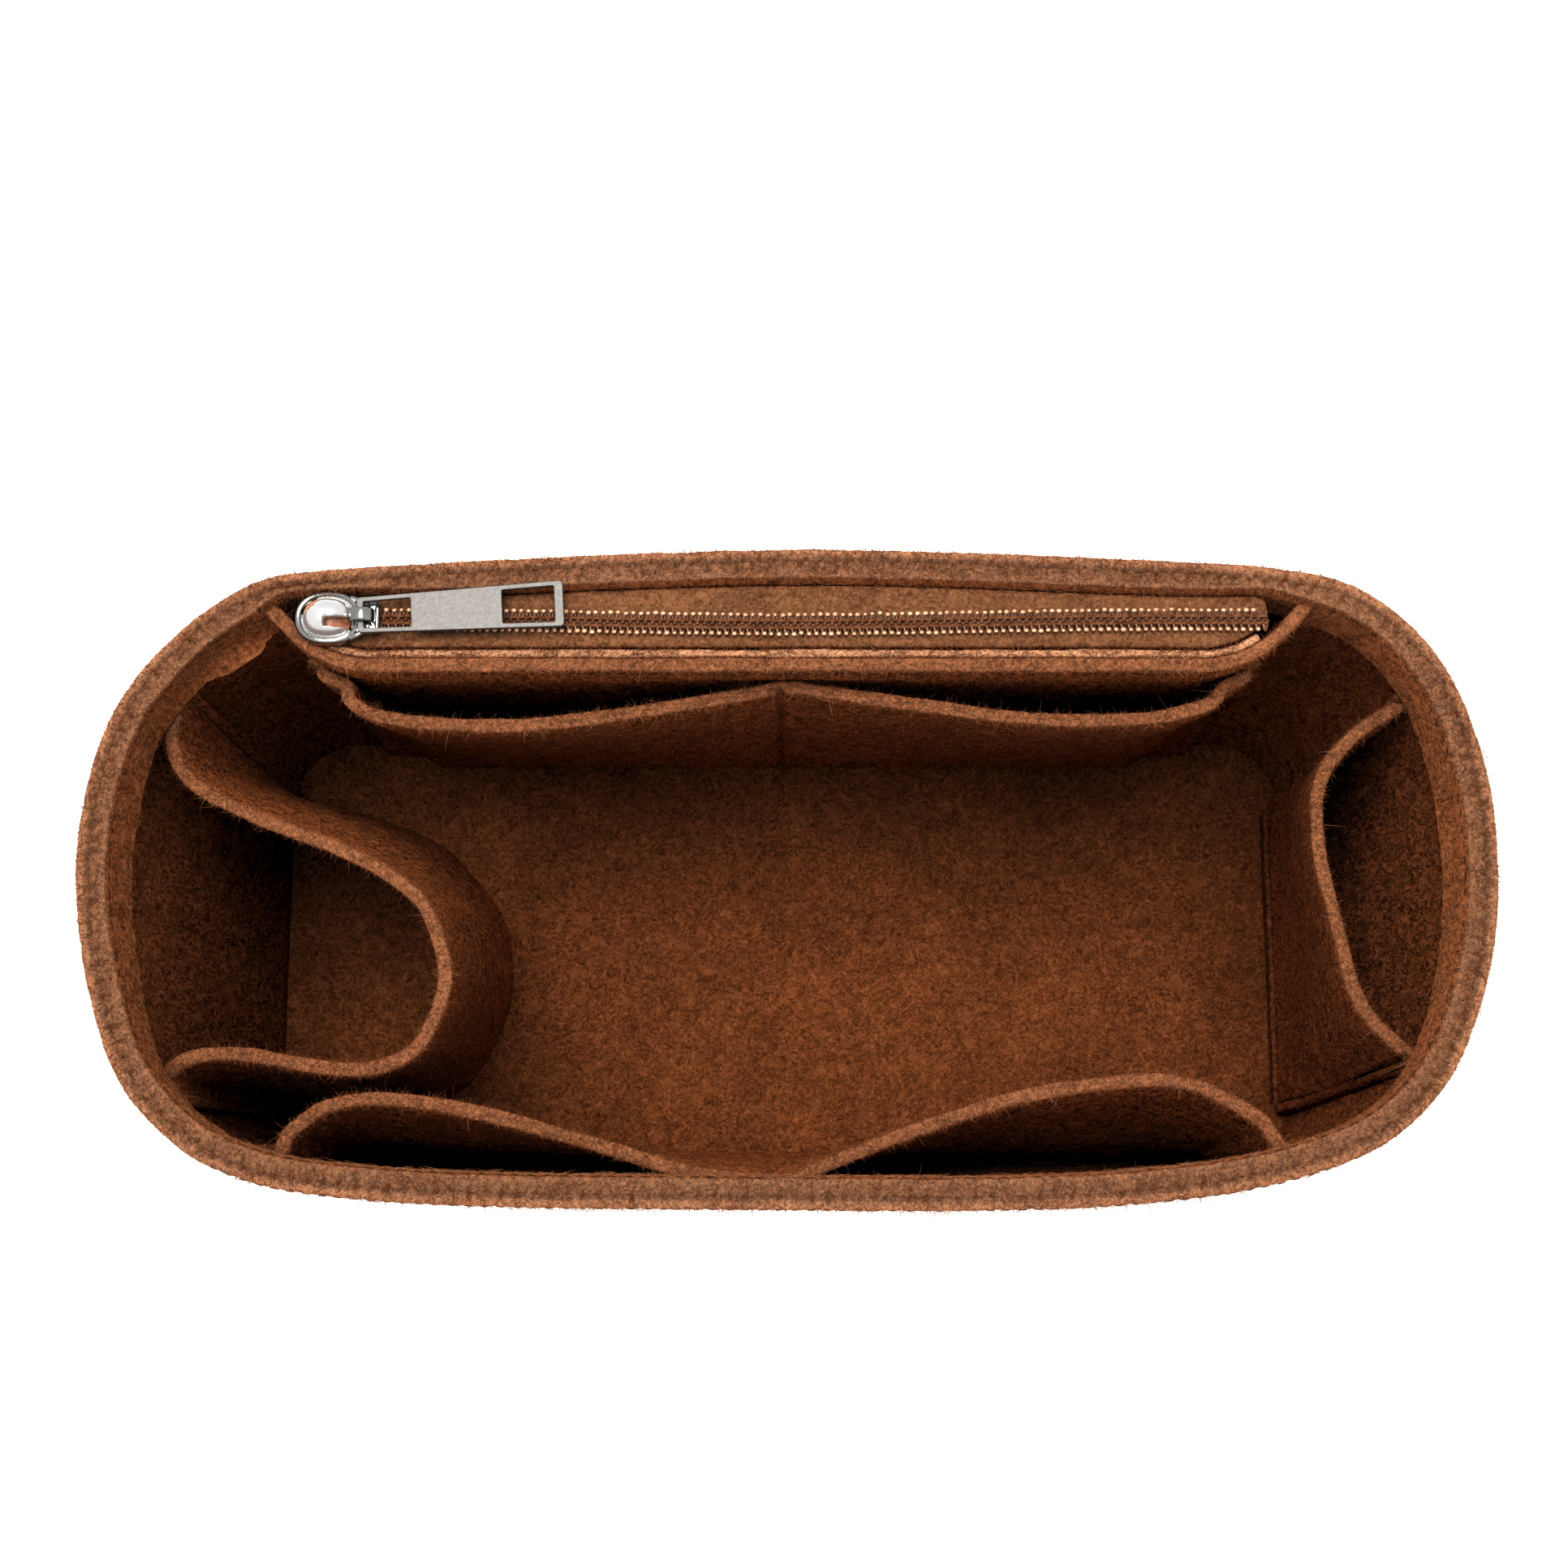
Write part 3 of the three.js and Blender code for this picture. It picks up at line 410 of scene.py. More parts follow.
def felt_look(name, dark, middle, light, edge):
    """Needled felt: tangled short fibres in clumps, cloudy patches and a paler cut edge."""
    look = Look(name, middle, 1.0)
    place = look.add("ShaderNodeTexCoord", "Object")
    coords = look.add("ShaderNodeMapping", "Vector", Vector=place, Scale=UPRIGHT_STRETCH)
    fibres, clumps, tangles, clouds = (look.noise(coords, *values) for values in FELT_NOISES)
    body = (dark, middle, light)
    clump_colour = look.ramp(clumps, (0.38, 0.5, 0.63), body)
    tangle_colour = look.ramp(tangles, (0.38, 0.5, 0.64), body)
    fibre_colour = look.ramp(fibres, (0.36, 0.52, 0.66), body)
    colour = look.mix(0.35, look.mix(0.45, clump_colour, tangle_colour), fibre_colour)
    colour = look.mix(0.75, colour, look.ramp(clouds, (0.3, 0.7), CLOUD_SHADES), "MULTIPLY")
    cut = ([SHADOW_SHARE * c for c in edge], edge, [min(GLINT_SHARE * c, 1.0) for c in edge])
    pale_clumps = look.ramp(clumps, (0.36, 0.5, 0.64), cut)
    pale = look.mix(0.5, pale_clumps, look.ramp(fibres, (0.38, 0.5, 0.62), cut))
    colour = look.mix(look.attribute("cut_edge", "Fac"), colour, pale)
    around_one = look.tree.nodes.new("ShaderNodeVectorMath")
    look.fill(around_one, {0: look.attribute("tone", "Vector"), 1: (1, 1, 1)})
    tone = around_one.outputs["Vector"]
    normal = look.bump(tangles, 0.6, 0.001)
    normal = look.bump(clumps, 0.8, 0.0007, Normal=normal)
    normal = look.bump(fibres, 0.5, 0.0002, Normal=normal)
    look.fill(look.shader, {
        "Base Color": look.mix(1.0, colour, tone, "MULTIPLY"), "Normal": normal, "Sheen Weight": 0.9,
        "Sheen Roughness": 0.6, "Sheen Tint": look.ramp(clumps, (0.4, 0.62), SHEEN_TINTS),
    })
    return look.made


def plain_look(name, dark, light, roughness, scale, bump, metallic=0.0):
    """A material whose colour and surface follow one noise."""
    look = Look(name, light, roughness, metallic)
    grain = look.noise(look.add("ShaderNodeTexCoord", "Object"), scale, 4)
    look.fill(look.shader, {
        "Base Color": look.ramp(grain, (0.3, 0.7), (dark, light)), "Normal": look.bump(grain, bump, 0.0001),
    })
    return look.made


FELT_MIDDLE = (0.243, 0.089, 0.031)
FELT_EDGE = (0.27, 0.128, 0.066)
WALL_BODY = ((0.09, 0.031, 0.0105), (0.25, 0.096, 0.036), (0.4, 0.178, 0.08))
TAPE_LIGHT = (0.34, 0.188, 0.104)

# The made materials by name. Felts: dark, middle, light and cut edge
finishes = {name: felt_look(name, *colours) for name, *colours in (
    ("felt", (0.072, 0.0225, 0.0065), FELT_MIDDLE, (0.45, 0.195, 0.083), FELT_EDGE),
    # The facing: its felt is painted lighter than the tub's, standing for light on its shaded inner face
    ("felt_worn", (0.14, 0.05, 0.018), (0.31, 0.126, 0.05), (0.52, 0.248, 0.116), (0.36, 0.185, 0.102)),
    ("felt_rim", *WALL_BODY, (0.335, 0.178, 0.102)),
    # The zip facing's ridge: its cut edge is painted paler, a painted highlight along its recessed top
    ("felt_ridge", *WALL_BODY, (0.48, 0.28, 0.17)),
    ("zip_tape", (0.1, 0.045, 0.021), (0.215, 0.108, 0.054), TAPE_LIGHT, TAPE_LIGHT),
)}

# The others: dark, light, roughness, the noise's scale, how bumpy, and how metallic
finishes.update((name, plain_look(name, *values)) for name, *values in (
    ("stray_fibres", FELT_MIDDLE, FELT_EDGE, 0.9, 900, 0.1),
    ("stray_hairs", (0.3, 0.13, 0.057), (0.52, 0.28, 0.15), 0.9, 900, 0.1),
    ("pale_fibres", FELT_EDGE, (0.72, 0.5, 0.34), 0.8, 900, 0.1),
    ("zip_coil", (0.1, 0.042, 0.02), (0.24, 0.11, 0.055), 0.35, 400, 0.1),
    # Pale cream heads: a painted highlight for the glints on the coil's bends
    ("zip_coil_heads", (0.46, 0.26, 0.15), (0.74, 0.5, 0.34), 0.25, 300, 0.1),
    ("sewing_thread", (0.05, 0.02, 0.01), (0.12, 0.05, 0.025), 0.7, 2400, 0.5),
    ("zip_cord", (0.07, 0.028, 0.012), (0.26, 0.12, 0.058), 0.8, 1300, 0.6),
    # Painted shadow for the crease at the end pocket's foot
    ("seam_crease", (0.05, 0.016, 0.005), (0.15, 0.052, 0.019), 1.0, 700, 0.4),
    ("slider_chrome", (0.3, 0.29, 0.275), (0.46, 0.45, 0.435), 0.16, 120, 0.01, 1.0),
    ("slider_polished", (0.62, 0.61, 0.6), (0.78, 0.77, 0.76), 0.2, 120, 0.01, 0.7),
    # Brown under the dome's windows: a painted reflection of the felt in the chrome
    ("slider_well", (0.16, 0.05, 0.02), (0.62, 0.33, 0.19), 0.5, 330, 0.1),
    ("pull_satin", (0.163, 0.152, 0.142), (0.21, 0.197, 0.185), 0.55, 1400, 0.5, 0.9),
))


# Meshes

def mesh_of(name, skin):
    """A mesh of points in millimetres and their faces."""
    points, faces = skin
    mesh = bpy.data.meshes.new(name)
    mesh.from_pydata((np.asarray(points, float) * MM).tolist(), [], faces)
    mesh.validate()
    mesh.update()
    return mesh


def placed(name, data):
    made = bpy.data.objects.new(name, data)
    bpy.context.scene.collection.objects.link(made)
    return made


def smoothed(mesh, smooth=True):
    mesh.polygons.foreach_set("use_smooth", [smooth] * len(mesh.polygons))


def give(mesh, name, kind, field, values):
    """Adds a value at each point, for the felt's look."""
    values = np.asarray(values, np.float32).ravel()
    mesh.attributes.new(name, kind, "POINT").data.foreach_set(field, values)


def riding(name, mesh, finish, nodes, body):
    """Makes a piece of a mesh: it rides on its body, in place of its CAD nodes."""
    made = placed(name, mesh)
    mesh.materials.append(finishes[finish])
    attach(made, body)
    if nodes:
        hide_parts(*nodes)
    return made


def show(name, skin, finish, nodes=(), body="organizer"):
    mesh = mesh_of(name, skin)
    smoothed(mesh)
    return riding(name, mesh, finish, nodes, body)


def evaluated(made):
    """The mesh of a helper as its modifiers or its curve make it."""
    bpy.context.view_layer.update()
    return bpy.data.meshes.new_from_object(made.evaluated_get(bpy.context.evaluated_depsgraph_get()))


def skin_faces(loops, size, closed=False):
    """Joins a row of matching loops: closed into a ring, or capped at both ends."""
    faces = []
    for j in range(loops if closed else loops - 1):
        here, after = j * size, ((j + 1) % loops) * size
        for i in range(size):
            k = (i + 1) % size
            faces.append((here + i, here + k, after + k, after + i))
    if not closed:
        faces.append(tuple(range(size - 1, -1, -1)))
        faces.append(tuple((loops - 1) * size + i for i in range(size)))
    return faces


def stacked(rings):
    """A skin over matching loops, given from the bottom up, with a face at each end."""
    return np.vstack(rings), skin_faces(len(rings), len(rings[0]))


def by_column(stack):
    return np.asarray(stack).transpose(1, 0, 2).reshape(-1, 3)


def gathered(parts):
    """One skin of several."""
    points, faces, start = [], [], 0
    for some_points, some_faces in parts:
        points.append(some_points)
        faces += [tuple(start + i for i in face) for face in some_faces]
        start += len(some_points)
    return np.vstack(points), faces


def rings_of(side, up, sides):
    """A ring of unit size for each pair of rows."""
    turn = round_turns(sides)[None, :, None]
    return side[:, None] * np.cos(turn) + up[:, None] * np.sin(turn)


def tube(line, radius, sides, taper=1.0):
    """A skin round a line."""
    line = np.asarray(line, float)
    way = np.gradient(line, axis=0)
    way /= np.maximum(np.linalg.norm(way, axis=1)[:, None], 1e-9)
    up = np.tile([0.0, 0.0, 1.0], (len(line), 1))
    up[np.abs(way[:, 2]) > 0.9] = (1.0, 0.0, 0.0)
    side = unit(np.cross(way, up))
    up = np.cross(side, way)
    reach = np.broadcast_to(radius * np.asarray(taper), len(line))
    points = (line[:, None] + rings_of(side, up, sides) * reach[:, None, None]).reshape(-1, 3)
    return points, skin_faces(len(line), sides)


def wobble(points, scale, seed):
    """A smooth noise value from -1 to 1 for each point."""
    table = np.random.default_rng(seed).uniform(-1, 1, 8192)
    spots = np.asarray(points, float) * scale
    cell = np.floor(spots).astype(np.int64)
    part = spots - cell
    part = part * part * (3 - 2 * part)
    value = np.zeros(len(spots))
    for corner in range(8):
        step = np.array([corner & 1, (corner >> 1) & 1, corner >> 2])
        x, y, z = (cell + step).T
        weight = np.prod(np.where(step, part, 1 - part), axis=1)
        value += weight * table[(x * 73856093 ^ y * 19349663 ^ z * 83492791) % 8192]
    return value


def layered(points, seed, *layers):
    """Wobbles on top of each other: each layer has its scale, its height and what it adds to the seed."""
    return sum(height * wobble(points, scale, seed + step) for scale, height, step in layers)


def dented(row, dents):
    """How far each column of a panel is pressed in by the seams at the given shares of its length."""
    along = distances(row)
    pressed = np.zeros(len(row))
    for share in dents:
        pressed += np.exp(-(((along - share * along[-1]) / DENT_WIDTH) ** 2))
    return np.minimum(pressed, 1) * DENT_DEPTH


top_lines = {}


def felt_piece(
    name, middle_row, low, top, nodes, seed, thickness=FELT, closed=False, levels=WALL_LEVELS, dents=(),
    holes=None, finish="felt", shaped=None, toned=None,
):
    """A panel of felt about the middle line that middle_row(z) gives, with soft rounded cut edges.

    Holes, where there are any, are how deep the stitches press its near side, its crest and its far side.
    """
    half = np.asarray(thickness, float) / 2
    round_off = min(EDGE_ROUND, 0.8 * half.min())
    turns = np.linspace(0, math.pi / 2, EDGE_STEPS)[1:]
    rise, drawn = round_off * (1 - np.sin(turns)), round_off * (1 - np.cos(turns))
    heights = [*(low + rise[::-1]), *np.linspace(low + round_off, top - round_off, levels), *(top - rise)]
    heights, drawn_in = np.array(heights), np.array([*drawn[::-1], *np.zeros(levels), *drawn])
    top_row = middle_row(top)
    pressed = dented(top_row, dents)
    near, far = [], []
    for z, inset in zip(heights, drawn_in):
        row = middle_row(z)
        normal = normals(row, closed)
        reach = np.broadcast_to(half - inset, len(row))
        near.append(level(row - normal * reach[:, None], z))
        far.append(level(row + normal * (reach - pressed)[:, None], z))
    count = len(heights)
    stack = np.array(near + [0.5 * (near[-1] + far[-1])] + far[::-1] + [0.5 * (near[0] + far[0])])
    size, columns = len(stack), stack.shape[1]

    def around(near_side, crest, far_side, foot):
        return np.tile([*near_side, crest, *far_side, foot], columns)

    spread = np.zeros_like(stack)
    spread[:count] = stack[:count] - stack[count + 1 : -1][::-1]
    spread[count + 1 : -1] = -spread[:count][::-1]
    outward = by_column(spread)
    outward /= np.maximum(np.linalg.norm(outward, axis=1)[:, None], 1e-6)
    points = by_column(stack)
    cuts = np.clip((heights - (top - EDGE_BAND)) / EDGE_FADE, 0, 1)
    edge = around(cuts, 1, cuts[::-1], cuts[0])
    lumps = layered(points, seed, (0.16, 0.14, 0), (0.6, 0.06, 3), (1.7, 0.06 + 0.03 * edge, 4))
    points = points + outward * lumps[:, None]
    points[:, 2] += edge * EDGE_RAGGED * layered(points, seed, (0.25, 1.2, 5), (0.9, 1, 6), (2.1, 0.8, 7))
    if holes:
        along = distances(top_row)
        at_hole = np.maximum(np.cos(2 * math.pi * along / STITCH_PITCH), 0) ** 3 * HOLE_DEPTH
        at_hole *= 0.75 + 0.5 * wobble(np.column_stack([top_row, along]), 0.2, seed + 8)
        near_side, crest, far_side = holes
        weight = around([near_side] * count, crest, [far_side] * count, 0)
        points[:, 2] -= edge * weight * np.repeat(at_hole, size)
    if shaped:
        points = shaped(points)
    made = show(name + "_felt", (points, skin_faces(columns, size, closed)), finish, nodes)
    give(made.data, "cut_edge", "FLOAT", "value", edge)
    if toned:
        feet = np.clip((low + 1.1 - heights) / 0.7, 0, 1)
        shares = {"edge": edge, "near": around([1.0] * count, 0.5, [0] * count, 0.5),
                  "foot": around(feet, 0, feet[::-1], 1)}
        give(made.data, "tone", "FLOAT_VECTOR", "vector", toned(points, shares))
    top_lines[name] = (level(top_row, top), float(half.mean()), closed)


# The tub

BASE_EDGE = [(0.0, 0.5), (0.15, 0.15), (0.5, 0.0), (FELT - 0.5, 0.0), (FELT - 0.15, 0.15), (FELT, 0.5)]
BASE_TOP_SHARES = (0.97, 0.8, 0.55, 0.3, 0.1)
base_line = wall_outline(0, 0)
show("base_felt", stacked(
    [level(offset(base_line, inset, closed=True), z) for z, inset in BASE_EDGE]
    + [level(base_line * share, FELT) for share in BASE_TOP_SHARES]
), "felt", ["base_panel"])

# What each tone adds to one, as a factor of the felt's colour
# Duller: the felt outside is painted duller, and the felt inside keeps a deeper orange that stands for light
# bounced between the tub's walls
DULLER = (-0.26, -0.17, -0.07)
# Painted shade on the rim's inner half and along the facing's top
PAINTED_SHADE = (-0.43, -0.39, -0.35)
# Paler: the facing's pale lower edge, and painted light at its right end
PALER = (0.42, 0.48, 0.54)


def wall_tone(points, shares):
    """The outside is painted duller than the felt inside the tub, and the rim's inner half has painted shade,
    darker than its outer lip.
    """
    outside = shares["near"] * np.clip((HEIGHT - 0.4 - points[:, 2]) / 1.6, 0, 1)
    inner_lip_shade = shares["edge"] * np.clip(1 - 1.6 * shares["near"], 0, 1)
    return np.outer(outside, DULLER) + np.outer(inner_lip_shade, PAINTED_SHADE)


def facing_tone(points, shares):
    """Painted shade along its top, darker towards its inner side, with a pale lower edge, and painted light
    towards the right end, where the facing stands lit.
    """
    edge, near, foot = shares["edge"], shares["near"], shares["foot"]
    # Painted light: the facing is lightened towards the right end
    right = 0.5 * np.clip((points[:, 0] + 40) / 130, 0, 1) * (1 - edge) * (1 - foot)
    return np.outer(edge * lerp(0.75, 1.0, near), PAINTED_SHADE) + np.outer(right + foot * (1 - near), PALER)


# Where the facing's lower edge curls, how far along and across, and how high it reaches
CURL_PLACE = (-104, 41)
CURL_SPREAD = (11, 9)
CURL_HEIGHT = 7


def curled(points):
    """The facing's lower edge frays, and curls away from the wall at the back left corner."""
    plan = points * (1, 1, 0)
    height = np.clip((FACING_UNDERSIDE + CURL_HEIGHT - points[:, 2]) / CURL_HEIGHT, 0, 1) ** 1.5
    near_corner = np.exp(-np.sum(((points[:, :2] - CURL_PLACE) / CURL_SPREAD) ** 2, axis=1))
    out = points.copy()
    away = near_corner * height * (4.0 + wobble(plan, 0.22, 31) * 2.2)
    out[:, :2] -= unit(points[:, :2]) * away[:, None]
    fray = layered(plan, 32, (0.3, 1, 0), (0.9, 0.6, 1))
    out[:, 2] += height * (fray * (0.3 + 1.4 * near_corner) + 2.2 * near_corner)
    return out


FACING_OUTER = FELT - 0.3
felt_piece(
    "wall", lambda z: wall_outline(z, FELT / 2), LEVEL_OF_BASE - 0.25, HEIGHT, ["wall_band"], 1, closed=True,
    holes=HOLES_FAR, finish="felt_rim", toned=wall_tone,
)
felt_piece(
    "rim_facing", lambda z: wall_outline(z, (FACING_OUTER + FACING_INSETS) / 2), FACING_UNDERSIDE, HEIGHT,
    ["rim_facing"], 2, FACING_INSETS - FACING_OUTER, closed=True, levels=16, holes=HOLES_NEAR,
    finish="felt_worn", shaped=curled, toned=facing_tone,
)


# The zipped pocket

def panel_middle_y(z):
    foot = BASE_WIDTH / 2 - FELT - SEAM_GAP
    return lerp(foot, ZIP_POCKET_Y, (z - LEVEL_OF_BASE) / (ZIP_PANEL_TOP - LEVEL_OF_BASE))


def zip_panel_rear(z, columns=PANEL_COLUMNS):
    """The panel's rear face: its ends step in where they meet the facing."""
    step = np.clip((z - (FACING_UNDERSIDE - 6)) / 5.2, 0, 1)
    wall = wall_outline(z, lerp(FELT, FACING_INSETS, step) + SEAM_GAP)
    pairs = []
    for along, out in ZIP_PANEL_SHARES:
        x = along * ZIP_POCKET_HALF_LENGTH
        pairs.append((x, lerp(across(wall, x, 1, 1), panel_middle_y(z), out)))
    return even(spline(pairs), columns)


def zip_panel_middle(z):
    """The panel's middle line: both ends run on a little, into the felt that they are sewn to."""
    row = offset(zip_panel_rear(z), FELT / 2)
    for end, before in ((0, 3), (-1, -4)):
        way = row[end] - row[before]
        row[end] += way / np.linalg.norm(way) * PANEL_END_REACH
    return even(row, len(row))


def zip_facing_row(z):
    """A row behind the panel that bends with it towards both ends."""
    rear = zip_panel_rear(z)
    shown = rear[np.abs(rear[:, 0]) < ZIP_FACING_SHOWN_HALF]
    return even(offset(shown, -(0.1 + ZIP_FACING_THICKNESS / 2)), 200)


def profile(shares):
    curve = spline(shares)
    return lambda along: np.interp(along, curve[:, 0], np.maximum(curve[:, 1], 0))


back_profile = profile(BACK_POCKET_SHARES)


def back_pocket_row(z):
    last = BACK_POCKET_COLUMNS - 1
    start, end = (int(round(share * last)) for share in BACK_POCKET_SHOWN)
    part = offset(zip_panel_rear(z, BACK_POCKET_COLUMNS), FELT)[start:end]
    shares = np.linspace(*BACK_POCKET_SHOWN, len(part))
    first, final = BACK_POCKET_SPAN
    bulge = BACK_POCKET_BULGE * back_profile(np.clip((shares - first) / (final - first), 0, 1))
    column = np.arange(len(part))
    to_end = np.minimum(column, column[::-1]) / len(part)
    sewn = POCKET_END_SINK * np.exp(-((to_end / 0.012) ** 2))
    return offset(part, SEAM_GAP + bulge * growth(z, BACK_POCKET_TOP) + FELT / 2 - sewn)


def wall_pocket_row(span, shares, bulge, columns):
    line = even(spline(shares), columns)

    def row(z):
        place, way = at_share(wall_outline(z, FELT), lerp(*span, line[:, 0]))
        out = SEAM_GAP + np.maximum(line[:, 1], 0) * bulge * growth(z, WALL_POCKET_TOP)
        return offset(place + way * out[:, None], FELT / 2)

    return row


def loop_row(z):
    rise = np.clip((z - LEVEL_OF_BASE) / (WALL_POCKET_TOP - LEVEL_OF_BASE), 0, 1)
    wall = wall_outline(z, FELT + SEAM_GAP + FELT / 2)
    pairs = []
    for (reach_top, span_top), (reach_foot, span_foot) in zip(LOOP_TOP_SHARES, LOOP_FOOT_SHARES):
        y = LOOP_HALF_SPAN * lerp(span_foot, span_top, rise)
        pairs.append((across(wall, y, 0, -1) + LOOP_REACH * lerp(reach_foot, reach_top, rise), y))
    return even(spline(pairs), 260)


front_pocket_row = wall_pocket_row(FRONT_POCKET_SPAN, FRONT_POCKET_SHARES, FRONT_POCKET_BULGE, 300)
end_pocket_row = wall_pocket_row(END_POCKET_SPAN, END_POCKET_SHARES, END_POCKET_BULGE, 140)

# Where seams press the panels in, as shares of their length
BACK_SEAMS = (0.012, 0.5, 0.988)
FRONT_SEAMS = (0.012, 0.4925, 0.988)
LOOP_SEAMS = (0.012, 0.988)

felt_piece("zip_panel", zip_panel_middle, LEVEL_OF_BASE - 0.2, ZIP_PANEL_TOP, ["zip_pocket_panel"], 3)
felt_piece("zip_facing", zip_facing_row, ZIP_PANEL_TOP - ZIP_FACING_HEIGHT, ZIP_PANEL_TOP, ["zip_facing"], 4,
           ZIP_FACING_THICKNESS, levels=8, finish="felt_ridge")
for name, row, top, node, seed, dents in (
    ("back_pocket", back_pocket_row, BACK_POCKET_TOP, "back_slip_pocket", 5, BACK_SEAMS),
    ("front_pocket", front_pocket_row, WALL_POCKET_TOP, "front_slip_pocket", 6, FRONT_SEAMS),
    ("end_pocket", end_pocket_row, WALL_POCKET_TOP, "end_pocket", 7, (0.035, 0.965)),
    ("bottle_loop", loop_row, WALL_POCKET_TOP, "bottle_loop", 8, LOOP_SEAMS),
):
    felt_piece(name, row, LEVEL_OF_BASE, top, [node], seed, dents=dents)


# Seams

def foot_seam(name, distance, radius, finish, seed):
    """A cord along the end pocket's lower edge, where it meets the floor: in felt it is the turned edge, and
    in the dark crease finish it is painted shadow in the crease.
    """
    row = offset(end_pocket_row(LEVEL_OF_BASE), FELT / 2 + distance)[3:-3]
    line = level(row, FELT + 0.15)
    line[:, :2] += (wobble(line, 0.35, seed) * 0.12)[:, None]
    show(name, tube(line, radius, 8, 0.85 + 0.25 * wobble(line, 0.5, seed + 1)), finish)


def stitches(name, line, outward, node):
    """A row of lockstitches along a line on a surface: each rises from its hole and goes back in."""
    along = distances(line)
    count = max(1, int(along[-1] / STITCH_PITCH))
    share = np.linspace(0, 1, 7)
    arc = np.sin(share * math.pi)
    rise = np.maximum(arc, 0) ** 0.6 * STITCH_LIFT - 0.18
    parts = []
    for i in range(count):
        wanted = (i + 0.5 * (1 - STITCH_COVER) + share * STITCH_COVER) * along[-1] / count
        spots = at(wanted, along, line) + at(wanted, along, outward) * rise[:, None]
        parts.append(tube(spots, STITCH_RADIUS, 6, 0.6 + 0.4 * arc))
    show(name, gathered(parts), "sewing_thread", [node])


def level_stitches(name, row, z, way, node):
    """Stitches at one height, on the left (1) or the right (-1) of a row."""
    stitches(name, level(row, z), level(normals(row) * way, 0), node)


def seam_down(name, row, top, share, node):
    """Stitches down a panel, in the dent at a share of its length."""
    spots, ways = [], []
    for z in np.linspace(LEVEL_OF_BASE + 0.5, top - 0.8, 60):
        points = row(z)
        i = int(round(share * (len(points) - 1)))
        normal = normals(points)[i]
        spots.append((*(points[i] + normal * (FELT / 2 - DENT_DEPTH + 0.15)), z))
        ways.append((*normal, 0))
    stitches(name, np.array(spots), np.array(ways), node)


# A dark cord in the crease between the end pocket and the floor: painted shadow
foot_seam("end_seam_painted_shadow", 1.25, 0.42, "seam_crease", 91)
foot_seam("end_seam_edge", 0.0, 0.9, "felt", 92)
RIM_STITCH_Z = HEIGHT - 2
INSIDE_STITCHES = slice(int(0.405 * WALL_STATIONS), int(1.095 * WALL_STATIONS))
ZIP_STITCH_Z = ZIP_PANEL_TOP - 3
SEAM_HALF = ZIP_POCKET_HALF_LENGTH - ZIP_FACING_INSET
inner = np.tile(wall_outline(RIM_STITCH_Z, FACING_INSETS), (2, 1))[INSIDE_STITCHES]
seam_x = np.linspace(SEAM_HALF, -SEAM_HALF, 160)
front_seam = level(seam_x[:, None], panel_middle_y(ZIP_STITCH_Z) - FELT)
outer = looped(wall_outline(RIM_STITCH_Z, 0))
level_stitches("rim_stitches_outside", outer, RIM_STITCH_Z, -1, "rim_thread_outside")
level_stitches("rim_stitches_inside", inner, RIM_STITCH_Z, 1, "rim_thread_inside")
level_stitches("base_stitches", looped(base_line), FELT + SEAM_GAP / 2, -1, "base_thread")
level_stitches("zip_stitches_front", front_seam, ZIP_STITCH_Z, 1, "zip_thread_front")
for piece, row, top, sides, shares in (
    ("back_pocket", back_pocket_row, BACK_POCKET_TOP, ("right", "middle", "left"), BACK_SEAMS),
    ("front_pocket", front_pocket_row, WALL_POCKET_TOP, ("left", "middle", "right"), FRONT_SEAMS),
    ("end_pocket", end_pocket_row, WALL_POCKET_TOP, ("front", "back"), (0.018, 0.982)),
    ("loop", loop_row, WALL_POCKET_TOP, ("back", "front"), LOOP_SEAMS),
):
    for side, share in zip(sides, shares):
        seam_down(f"{piece}_stitches_{side}", row, top, share, f"{piece}_thread_{side}")


# The zip

def rear_leg_y(z, x, distance=0.0):
    wall = wall_outline(z, FACING_INSETS + SEAM_GAP + distance)
    return np.array([across(wall, place, 1, 1) for place in x])


def near_leg_y(z, x):
    row = offset(zip_panel_rear(z), -(ZIP_FACING_THICKNESS + 2 * SEAM_GAP))[::-1]
    return np.interp(x, row[:, 0], row[:, 1])


def chain_y(x):
    """The sewn chain bows a little to the front between its ends."""
    share = np.clip(np.abs(np.asarray(x)) / CHAIN_STRAIGHT_FROM, 0, 1)
    return CHAIN_Y - CHAIN_BOW * (1 + np.cos(math.pi * share)) / 2


